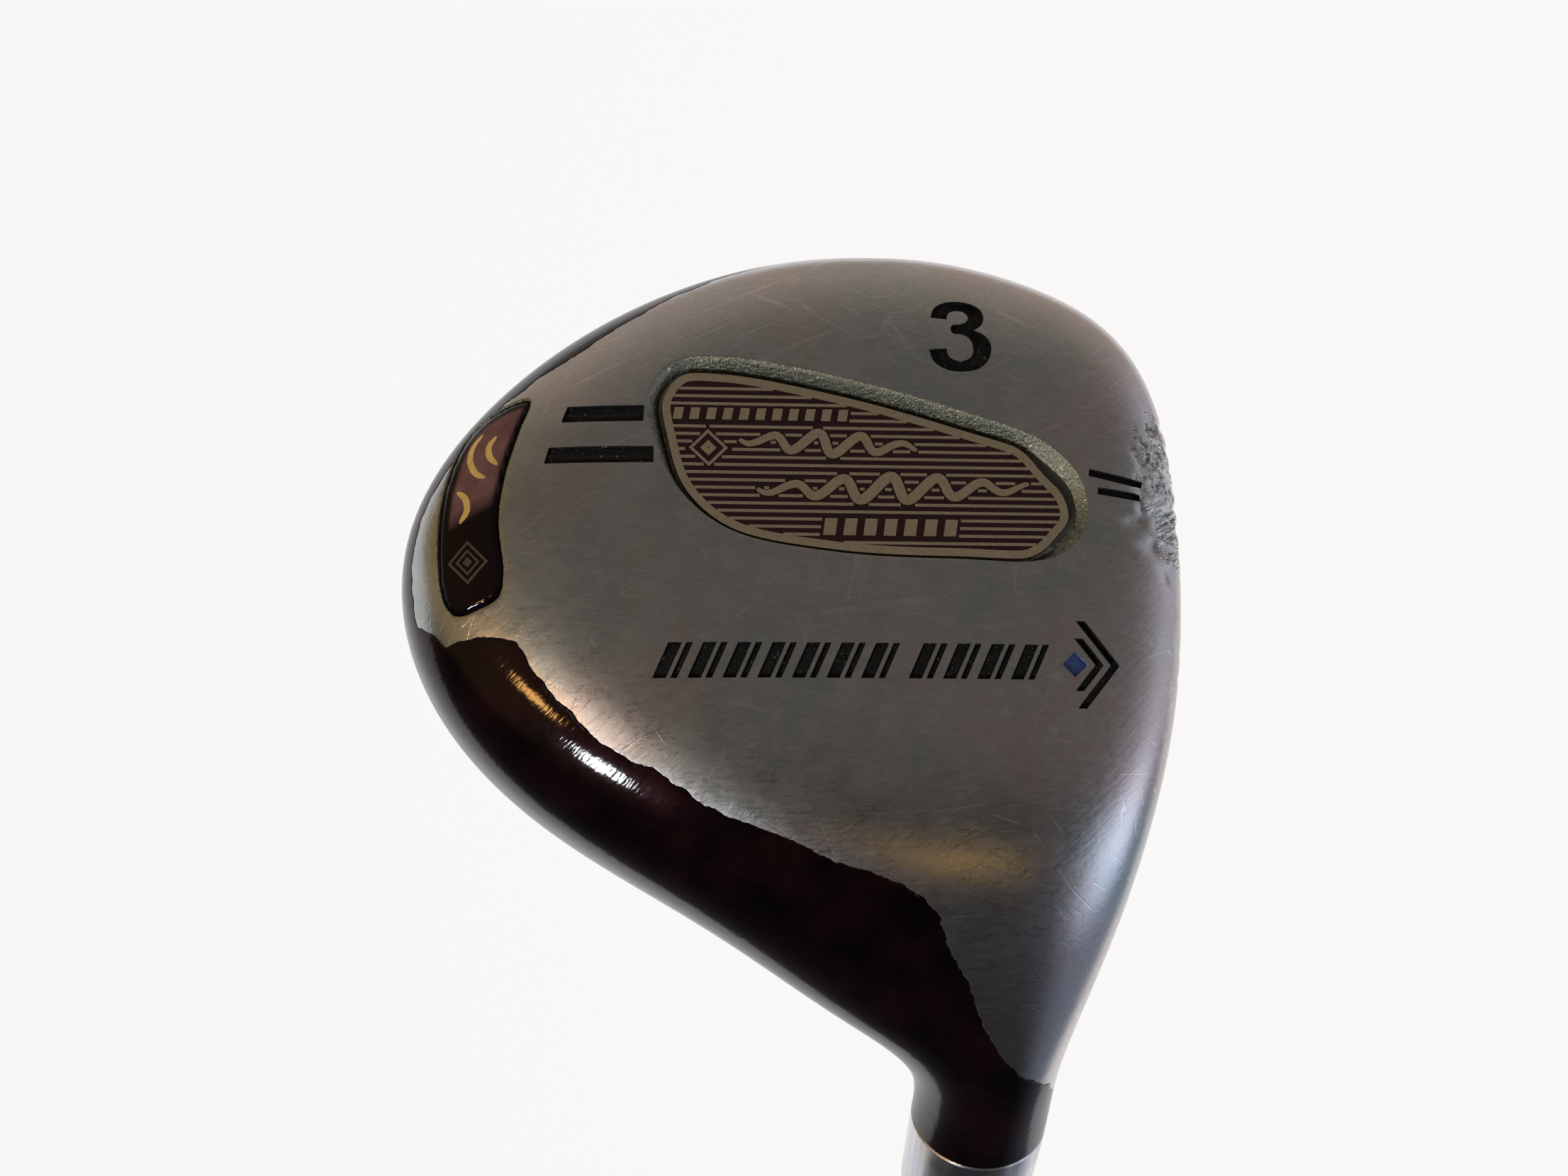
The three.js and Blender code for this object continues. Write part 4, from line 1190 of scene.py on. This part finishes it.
def rubber_finish(name, level):
    """Dull black rubber, rubbed paler in broad patches."""
    n = Finish(name)
    place = n.row_mm()
    fine = n.noise(place, 2.6, 4.0, 0.7)
    worn = n.between(n.noise(place, 0.04, 2.0), 0.4, 0.7)
    dark, pale = ((level * lift,) * 3 + (1,) for lift in (1.0, 1.6))
    n.set(
        Base_Color=n.mix(worn, dark, pale), Roughness=n.vary(fine, 0.66, 0.86),
        Normal=n.bump(fine, 0.05),
    )
    return n.material


# Grainy finishes: the material's name, its colour, metallic, roughness, grain scale, grain depth
# in mm, and what is special about it.
GRAINY = {
    "seam": ("seam", (0.02, 0.018, 0.018), 0.3, 0.6, 2.0, 0.02, {}),
    "inside": ("raw_steel", (0.30, 0.28, 0.26), 1.0, 0.6, 1.2, 0.05, {}),
    "pocket": ("pocket_steel", (0.19, 0.195, 0.15), 1.0, 0.46, 2.6, 0.16,
               {"spread": 0.45, "flecks": (0.55, 0.55, 0.46, 1)}),
    "fill": ("black_fill", (0.0035, 0.004, 0.0035), 0.0, 0.6, 3.4, 0.25,
             {"flecks": (0.20, 0.22, 0.18, 1), "gloss": 0.2}),
    "blue": ("blue_fill", (0.012, 0.035, 0.13), 0.0, 0.35, 3.0, 0.06, {"coat": 0.5}),
    "gold": ("pale_gold", (0.46, 0.385, 0.265), 1.0, 0.34, 5.0, 0.02, {"spread": 0.18}),
    "field": ("burgundy_field", (0.016, 0.0055, 0.0065), 0.0, 0.45, 4.0, 0.012,
              {"spread": 0.3, "gloss": 0.15}),
    "rear_plate": ("rear_plate", (0.012, 0.004, 0.005), 0.3, 0.30, 4.0, 0.01, {}),
    "print": ("gold_print", (0.60, 0.41, 0.12), 0.35, 0.4, 3.0, 0.01, {}),
    "dim_print": ("dim_print", (0.050, 0.036, 0.022), 0.2, 0.4, 3.0, 0.01, {}),
    "band": ("band", (0.09, 0.008, 0.014), 0.0, 0.3, 1.5, 0.02, {"coat": 0.6}),
}
COLLAR = 0.32, 0.02, (0.40, 0.41, 0.45, 1), (0.62, 0.58, 0.53, 1)
CHROME = 0.08, 0.002, (0.60, 0.60, 0.61, 1), (0.68, 0.67, 0.66, 1)


def make_finishes():
    return {key: grainy_finish(*row[:-1], **row[-1]) for key, row in GRAINY.items()} | {
        "sole": head_finish("brushed_sole"),
        "face": blasted_finish("face_steel"),
        "lens": lens_finish("dome"),
        "collar": chrome_finish("collar", *COLLAR),
        "chrome": chrome_finish("shaft_chrome", *CHROME),
        "rubber": rubber_finish("grip_rubber", 0.012),
        "cap_rubber": rubber_finish("cap_rubber", 0.010),
    }


# Pieces inside the club, shown as the CAD made them: node, slot, colour, metallic, roughness,
# grain scale and grain depth in mm.
HIDDEN = [
    ("hosel_sleeve", "bush_plastic", (0.02, 0.02, 0.022), 0.0, 0.55, 2.0, 0.04),
    ("tip_plug", "cork", (0.42, 0.27, 0.12), 0.0, 0.9, 1.4, 0.20),
    ("tip_weight", "brass_pin", (0.60, 0.42, 0.14), 1.0, 0.4, 3.0, 0.03),
    ("sole_badge_tape", "badge_tape", (0.030, 0.030, 0.024), 0.0, 0.85, 3.0, 0.05),
    ("rear_badge_tape", "badge_tape", (0.028, 0.027, 0.024), 0.0, 0.85, 3.2, 0.05),
    ("rear_weight", "bare_steel", (0.33, 0.31, 0.28), 1.0, 0.5, 1.3, 0.08),
    ("foam_core", "foam", (0.76, 0.69, 0.38), 0.0, 0.95, 0.9, 0.40),
    ("grip_tape", "paper_tape", (0.76, 0.71, 0.60), 0.0, 0.85, 1.1, 0.08),
]


def finish_hidden():
    for node, slot, *finish in HIDDEN:
        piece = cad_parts[node]
        piece.data.materials.clear()
        piece.data.materials.append(grainy_finish(node, *finish))


# ------------------------------------------------------------------ badges

# Depths above the pocket's floor: the foot and top of the plate, and of what is raised on it.
PLATE_FOOT, PLATE_TOP = -0.55, -0.9
LINE_PITCH = 0.775
LINE_HALF = 0.15
RIM_WIDTH = 0.85
LENS_ROUND = 0.55  # how far in from its edge the rear dome is rounded
PRINT_DEPTHS = -0.045, 0.06


def join(objects, name):
    """Joins separate meshes into the first of them."""
    mesh = bpy.data.meshes.new(name)
    points, faces, slots, materials = [], [], [], []
    for each in objects:
        base = len(points)
        points.extend(v.co.copy() for v in each.data.vertices)
        material = each.data.materials[0]
        if material not in materials:
            materials.append(material)
        faces.extend([base + v for v in polygon.vertices] for polygon in each.data.polygons)
        slots.extend([materials.index(material)] * len(each.data.polygons))
    mesh.from_pydata(points, [], faces)
    for material in materials:
        mesh.materials.append(material)
    mesh.polygons.foreach_set("material_index", slots)
    swap_mesh(objects[0], mesh)
    remove(*objects[1:])
    return objects[0]


def build_sole_badge(patch, finishes):
    """The inlay: a dark field, a pale gold rim and fine gold lines, broken by plain marks."""
    pocket = resample(catmull_rom(SOLE_POCKET, closed=True), SOLE_STEP)
    gap = 0.18 + 1.1 * pocket_share(pocket) + 1.5 * front_share(pocket)
    outline = resample(inset_outline(pocket, gap), SOLE_STEP)
    steps = ((0.06, PLATE_TOP + 0.04), (0.0, PLATE_TOP + 0.10), (0.0, PLATE_FOOT))
    levels = [(shift, floor_depth(patch, lift)) for shift, lift in steps]
    inner = inset_outline(outline, RIM_WIDTH)
    pieces = [
        patch.slab("plate", outline, levels, SOLE_SPACING, finishes["field"]),
        rim(patch, inset_outline(outline, 0.05), inner, finishes["gold"]),
    ]
    marks = badge_marks()
    waves = [stroke_sides(*each) for each in WAVES]
    clear = marks + [(np.concatenate([left, right[::-1]]), 0.2) for left, right in waves]
    low = inner[:, 1].min()
    for row in range(1, int((inner[:, 1].max() - low) / LINE_PITCH) + 1):
        y = low + row * LINE_PITCH
        for x0, x1 in spans(inner, y, clear):
            line = np.array([
                (x0, y - LINE_HALF), (x1, y - LINE_HALF), (x1, y + LINE_HALF), (x0, y + LINE_HALF),
            ])
            line = resample_sides(line, 2.0)
            pieces.append(raised(patch, line, PLATE_TOP + 0.01, 5.0, finishes["gold"]))
    for mark, _ in marks:
        pieces.append(raised(patch, mark, PLATE_TOP - 0.05, 0.6, finishes["gold"]))
    top, foot = (floor_depth(patch, PLATE_TOP + lift) for lift in (-0.05, 0.05))
    for points, width in WAVES:
        pieces.append(stroke(patch, points, width, top, foot, finishes["gold"]))
    return join(pieces, "sole_badge")


def raised(patch, outline, top, spacing, material):
    """A thin piece on the sole badge, up to a level above the pocket's floor."""
    top_depth = floor_depth(patch, top)
    foot_depth = floor_depth(patch, PLATE_TOP + 0.05)
    levels = [(0.02, top_depth), (0.0, top_depth), (0.0, foot_depth)]
    return patch.slab("raised", outline, levels, spacing, material)


def resample_sides(polygon, step):
    """Extra points along the straight sides of a polygon."""
    out = []
    for a, b in zip(polygon, np.roll(polygon, -1, axis=0)):
        count = max(1, int(round(np.linalg.norm(b - a) / step)))
        out.extend(a + (b - a) * i / count for i in range(count))
    return np.array(out)


def rim(patch, outer, inner, material):
    """A flat band on the sole badge, between two outlines with as many points each."""
    top, foot = PLATE_TOP - 0.02, PLATE_TOP + 0.06
    corners = [(outer, foot), (outer, top), (inner, top), (inner, foot)]
    rings = [patch.layer(line, floor_depth(patch, lift)(line)) for line, lift in corners]
    faces = tube(4, len(outer), closed=True)
    return outward(make_object("rim", np.concatenate(rings), faces, material))


def stroke_sides(points, width):
    """The two sides of a bent stroke that thins out towards both ends."""
    line = catmull_rom(points, closed=False, per_span=3)
    along = np.gradient(line, axis=0)
    along /= np.linalg.norm(along, axis=1)[:, None]
    side = np.stack([-along[:, 1], along[:, 0]], axis=1)
    swell = np.sin(np.linspace(0, np.pi, len(line))) ** 0.5
    half = (width / 2 * (0.3 + 0.7 * swell))[:, None]
    return line + side * half, line - side * half


def stroke(patch, points, width, top, foot, material):
    """A raised stroke on a patch, between two depths."""
    left, right = stroke_sides(points, width)
    corners = [(left, foot), (left, top), (right, top), (right, foot)]
    edges = [patch.layer(line, depth(line) if callable(depth) else depth) for line, depth in corners]
    last = 4 * len(left) - 1
    faces = [(0, 1, 2, 3), tuple(range(last, last - 4, -1))] + tube(len(left), 4)
    return outward(make_object("stroke", np.stack(edges, axis=1).reshape(-1, 3), faces, material))


def wave(start, end, height, length, shear):
    """Points that swing from side to side along a straight way, and lean forward."""
    start, end = np.array(start, float), np.array(end, float)
    reach = np.linalg.norm(end - start)
    t = np.linspace(0, 1, int(reach / length * 14) + 1)
    fade = np.sin(np.pi * np.clip(t, 0.12, 0.88))
    swing = (height * fade * np.sin(2 * np.pi * t * reach / length))[:, None]
    along = (end - start) / reach
    across = np.array([-along[1], along[0]])
    return start + t[:, None] * (end - start) + swing * (across - shear * along)


def diamond_frame(centre, outer, inner):
    """The four sides of a diamond, as separate bars with mitred ends."""
    centre = np.array(centre, float)
    sides = []
    for k in range(4):
        a, b = (np.array([math.cos(math.pi / 2 * i), math.sin(math.pi / 2 * i)]) for i in (k, k + 1))
        side = [centre + a * outer, centre + b * outer, centre + b * inner, centre + a * inner]
        sides.append(counterclockwise(resample_sides(np.stack(side), 0.3)))
    return sides


# The inlay's two leaning waves, each with its stroke width.
WAVES = [
    (wave((-28.4, -36.9), (-11.0, -36.3), 1.05, 4.2, 0.35), 0.95),
    (wave((-26.8, -31.9), (-0.4, -32.3), 1.2, 4.6, 0.35), 1.05),
]

# Its two rows of blocks: count, first place, step, block width, both edges and the slant.
BLOCK_ROWS = [
    (11, -34.8, 1.6, 0.9, (-40.1, -38.9), 0.25),
    (7, -20.6, 1.95, 1.2, (-29.0, -27.3), 0.3),
]
INLAY_DIAMOND = (-31.4, -36.0)


def badge_marks():
    """Plain marks on the inlay, each with the room that the lines leave around it."""
    marks = [
        (counterclockwise(bar(first + k * step, first + k * step + width, *edges, slant)), 0.3)
        for count, first, step, width, edges, slant in BLOCK_ROWS
        for k in range(count)
    ]
    sides = diamond_frame(INLAY_DIAMOND, 1.9, 1.5) + diamond_frame(INLAY_DIAMOND, 0.8, 0.1)
    return marks + [(side, 0.2) for side in sides]


def crossings(outline, level):
    """Where a line at a second coordinate crosses an outline, as pairs of first coordinates."""
    a, b = outline, np.roll(outline, -1, axis=0)
    hit = (a[:, 1] > level) != (b[:, 1] > level)
    a, b = a[hit], b[hit]
    found = sorted(a[:, 0] + (level - a[:, 1]) * (b[:, 0] - a[:, 0]) / (b[:, 1] - a[:, 1]))
    return list(zip(found[::2], found[1::2]))


def spans(outline, y, marks):
    """The lengths of a line at y that are inside the outline and clear of the marks."""
    left = crossings(outline, y)
    for mark, room in marks:
        for x0, x1 in crossings(inset_outline(counterclockwise(mark), -room), y):
            left = [part for a, b in left for part in ((a, min(b, x0)), (max(a, x1), b))]
            left = [(a, b) for a, b in left if b - a > 0.35]
    return left


def dome_depth(outline, edge, middle):
    """A rounded top: edge deep at the outline, and middle deep from LENS_ROUND inwards."""
    def depth(spots):
        t = np.clip(distance_to_line(spots, outline) / LENS_ROUND, 0, 1)
        return edge + (middle - edge) * np.sqrt(1 - (1 - t) ** 2)
    return depth


# Plain strokes on the rear badge: (to the heel, down to the sole).
REAR_STROKES = [
    [(-7.9, -0.2), (-6.6, -1.0), (-5.0, -1.0), (-3.4, 0.0), (-2.9, 1.0)],
    [(-7.4, 1.5), (-6.3, 0.9), (-5.1, 1.2), (-4.2, 2.1)],
    [(-1.7, -1.9), (-0.9, -0.9), (0.4, -0.6), (1.6, -1.3)],
]
REAR_DIAMONDS = [((5.5, -0.4), 2.1, 1.75), ((5.5, -0.4), 1.25, 0.95), ((5.5, -0.4), 0.5, 0.05)]


def build_rear_badge(patch, finishes):
    """The rear badge: a dark plate, a clear dome over it and the print on the dome."""
    pocket = resample(catmull_rom(REAR_POCKET, closed=True), REAR_STEP)
    levels = [(0.0, 0.85), (0.0, 1.15)]
    plate = patch.slab(
        "plate", inset_outline(pocket, 0.12), levels, REAR_SPACING, finishes["rear_plate"]
    )
    outline = inset_outline(pocket, 0.06)
    levels = [(0.0, dome_depth(outline, 0.26, -0.02)), (0.0, 0.7)]
    lens = patch.slab("lens", outline, levels, 0.30, finishes["lens"])
    # Marks where the lens gets its painted reflection, a dull red patch.
    store_painted_reflection(lens, patch, pocket)
    prints = [stroke(patch, line, 0.68, *PRINT_DEPTHS, finishes["print"]) for line in REAR_STROKES]
    levels = [(0.0, depth) for depth in PRINT_DEPTHS]
    for diamond in REAR_DIAMONDS:
        for side in diamond_frame(*diamond):
            prints.append(patch.slab("print", side, levels, 0.3, finishes["dim_print"]))
    return plate, lens, join(prints, "rear_badge_print")


def store_painted_reflection(lens, patch, pocket):
    """Keeps on the lens where its dull red reflection is painted: its toe half, away from its edges."""
    points = np.array([vertex.co for vertex in lens.data.vertices]) - np.array(patch.origin)
    flat = np.stack([points @ np.array(patch.across), points @ np.array(patch.along)], axis=1)
    zone = inset_outline(pocket, 0.75) + (0.0, 0.35)
    depth = np.where(inside(flat, zone), distance_to_line(flat, zone), 0.0)
    toe_half = np.clip((1.2 - flat[:, 0] - 0.5 * flat[:, 1]) / 2.0, 0, 1)
    store(lens, "painted_reflection", np.clip(depth / 0.35, 0, 1) * toe_half)


# ------------------------------------------------------------------ shaft and grip

BUTT_RADIUS = 7.6
STEP_COUNT = 15
STEP_FROM = 330.0
STEP_LENGTH = 42.0
STEP_DROP = (BUTT_RADIUS - TIP_RADIUS) / STEP_COUNT
SHAFT_FROM = 6.0
TUBE_WALL = 0.42
TIP_BOTTOM = 18.8
FERRULE_LENGTH = 27.0
RING_GAP = 0.22
BAND = {"from": 300.0, "to": 312.0, "inner": 7.65, "outer": 7.95, "bead": 0.1}

# The grip's sleeve: its foot, length, bore, outline as (height, radius), and its pattern.
GRIP_FOOT = 5.3
GRIP_LENGTH = 265.0
GRIP_INNER = 8.15
GRIP_LINE = [(5.3, 13.3), (40, 12.9), (120, 11.4), (230, 9.5), (263, 8.9), (265, 8.4)]
GRIP_ROWS, GRIP_AROUND = 520, 112
LATTICE = {"around": 14, "along": 0.9, "from": 36, "to": 238, "depth": 0.42}
GRIP_RINGS = {"at": (30, 245), "half": 1.0, "depth": 0.5}


def lathe(name, profile, segments, material):
    """A closed turned mesh about the shaft axis from (radius, height) in mm, in the row frame."""
    radius, height = np.array(profile, float).T[:, :, None]
    angle = np.linspace(0, 2 * np.pi, segments, endpoint=False)
    points = around_z(radius, angle, height).reshape(-1, 3) * MM
    faces = tube(len(profile), segments, closed=True)
    return outward(make_object(name, points, faces, material), merge=True)


def shaft_profile():
    """The stepped tube. Points close beside each step keep its shading narrow."""
    profile = [(BUTT_RADIUS, SHAFT_FROM)]
    for i in range(STEP_COUNT):
        at = STEP_FROM + i * STEP_LENGTH
        radius = BUTT_RADIUS - i * STEP_DROP
        after = radius - STEP_DROP
        profile += [
            (radius, at - 1.0), (radius, at - 0.1), (radius - 0.03, at), (after + 0.03, at + 0.5),
            (after, at + 0.7), (after, at + 1.6),
        ]
    top = CLUB_LENGTH - TIP_BOTTOM
    butt_bore, tip_bore = BUTT_RADIUS - TUBE_WALL, TIP_RADIUS - TUBE_WALL
    return profile + [
        (TIP_RADIUS, top), (tip_bore, top), (tip_bore, STEP_FROM + STEP_COUNT * STEP_LENGTH),
        (butt_bore, STEP_FROM), (butt_bore, SHAFT_FROM),
    ]


def ferrule_profile():
    base = CLUB_LENGTH - NECK_TOP - RING_GAP
    inner = TIP_RADIUS + 0.03
    return [
        (inner, base), (NECK_RADIUS - 0.15, base), (NECK_RADIUS, base - 0.15), (NECK_RADIUS, base - 2),
        (6.8, base - 10), (5.9, base - 20), (5.1, base - FERRULE_LENGTH + 0.4),
        (4.9, base - FERRULE_LENGTH), (inner, base - FERRULE_LENGTH),
    ]


def band_profile():
    """The plain band, with a low bead along both edges."""
    low, high, inner, outer = (BAND[key] for key in ("from", "to", "inner", "outer"))
    bead = outer + BAND["bead"]
    return [
        (inner, low), (outer, low), (bead, low + 0.15), (bead, low + 1.6), (outer, low + 1.8),
        (outer, high - 1.8), (bead, high - 1.6), (bead, high - 0.15), (outer, high), (inner, high),
    ]


def cap_profile():
    """The butt cap: a small hole, a shallow groove round it and a rounded edge."""
    corner = [
        (12.6 + 1.6 * math.sin(t), 1.6 - 1.6 * math.cos(t)) for t in np.linspace(0, math.pi / 2, 9)
    ]
    return [
        (0, 1.8), (1.5, 1.8), (1.6, 0.3), (1.9, 0.05), (5.5, 0.0), (5.8, 0.35), (6.6, 0.35), (6.9, 0.0),
        *corner, (14.0, 4.6), (13.3, 5.0), (0, 5.0),
    ]


def build_grip(material):
    """The sleeve, with a lattice of small grooves pressed in."""
    z = np.linspace(GRIP_FOOT, GRIP_LENGTH, GRIP_ROWS)
    angle = np.linspace(0, 2 * np.pi, GRIP_AROUND, endpoint=False)
    radius = np.interp(z, *np.array(GRIP_LINE).T)[:, None]
    a, h = np.meshgrid(angle, z)
    around, along = a * LATTICE["around"], h * LATTICE["along"]
    groove = np.clip((np.cos(around + along) * np.cos(around - along) - 0.25) / 0.35, 0, 1)
    patterned = (h > LATTICE["from"]) & (h < LATTICE["to"])
    depth = np.where(patterned, LATTICE["depth"] * groove, 0.0)
    for at in GRIP_RINGS["at"]:
        depth = np.where(np.abs(h - at) < GRIP_RINGS["half"], GRIP_RINGS["depth"], depth)
    outside = around_z(radius - depth, a, h).reshape(-1, 3)
    bore = [around_z(GRIP_INNER, angle, level) for level in (GRIP_LENGTH, GRIP_FOOT)]
    points = np.concatenate([outside, *bore]) * MM
    faces = tube(GRIP_ROWS + 2, GRIP_AROUND, closed=True)
    return outward(make_object("grip", points, faces, material))


def build_shaft_side(finishes):
    for name, slot, profile, segments, finish, angle in (
        ("shaft", "shaft_chrome", shaft_profile(), 96, "chrome", 25),
        ("ferrule", "ferrule", ferrule_profile(), 160, "collar", 40),
        ("shaft_band", "band", band_profile(), 96, "band", 40),
        ("grip_cap", "grip_rubber", cap_profile(), 128, "cap_rubber", 40),
    ):
        register(lathe(name, profile, segments, finishes[finish]), name, name, angle)
    register(build_grip(finishes["rubber"]), "grip_sleeve", "grip_sleeve", 50)


# ------------------------------------------------------------------ the club

def build_club():
    finishes = make_finishes()
    body, crown, neck, face, sole, rear = build_head(finishes)
    inlay = build_sole_badge(sole, finishes)
    plate, lens, prints = build_rear_badge(rear, finishes)
    for made, name, node, slot, angle in (
        (body, "sole_body", "sole_shell", "brushed_sole", 35),
        (crown, "crown", "crown_shell", "body_paint", 35),
        (neck, "neck", "hosel", "body_paint", 35),
        (face, "face", "face_plate", "face_steel", 35),
        (inlay, "sole_inlay", "sole_badge", "sole_badge", 30),
        (plate, "rear_plate", "rear_badge_plate", "rear_badge", 35),
        (lens, "rear_lens", "rear_badge_lens", "badge_lens", 60),
        (prints, "rear_print", None, "rear_badge", 35),
    ):
        made.data.transform(ADDRESS_TO_ROW)
        register(made, name, node, angle)
    build_shaft_side(finishes)
    finish_hidden()


build_club()
make_floor()
make_room()
make_lamps()
make_camera()
bpy.context.scene.view_settings.view_transform = "Standard"
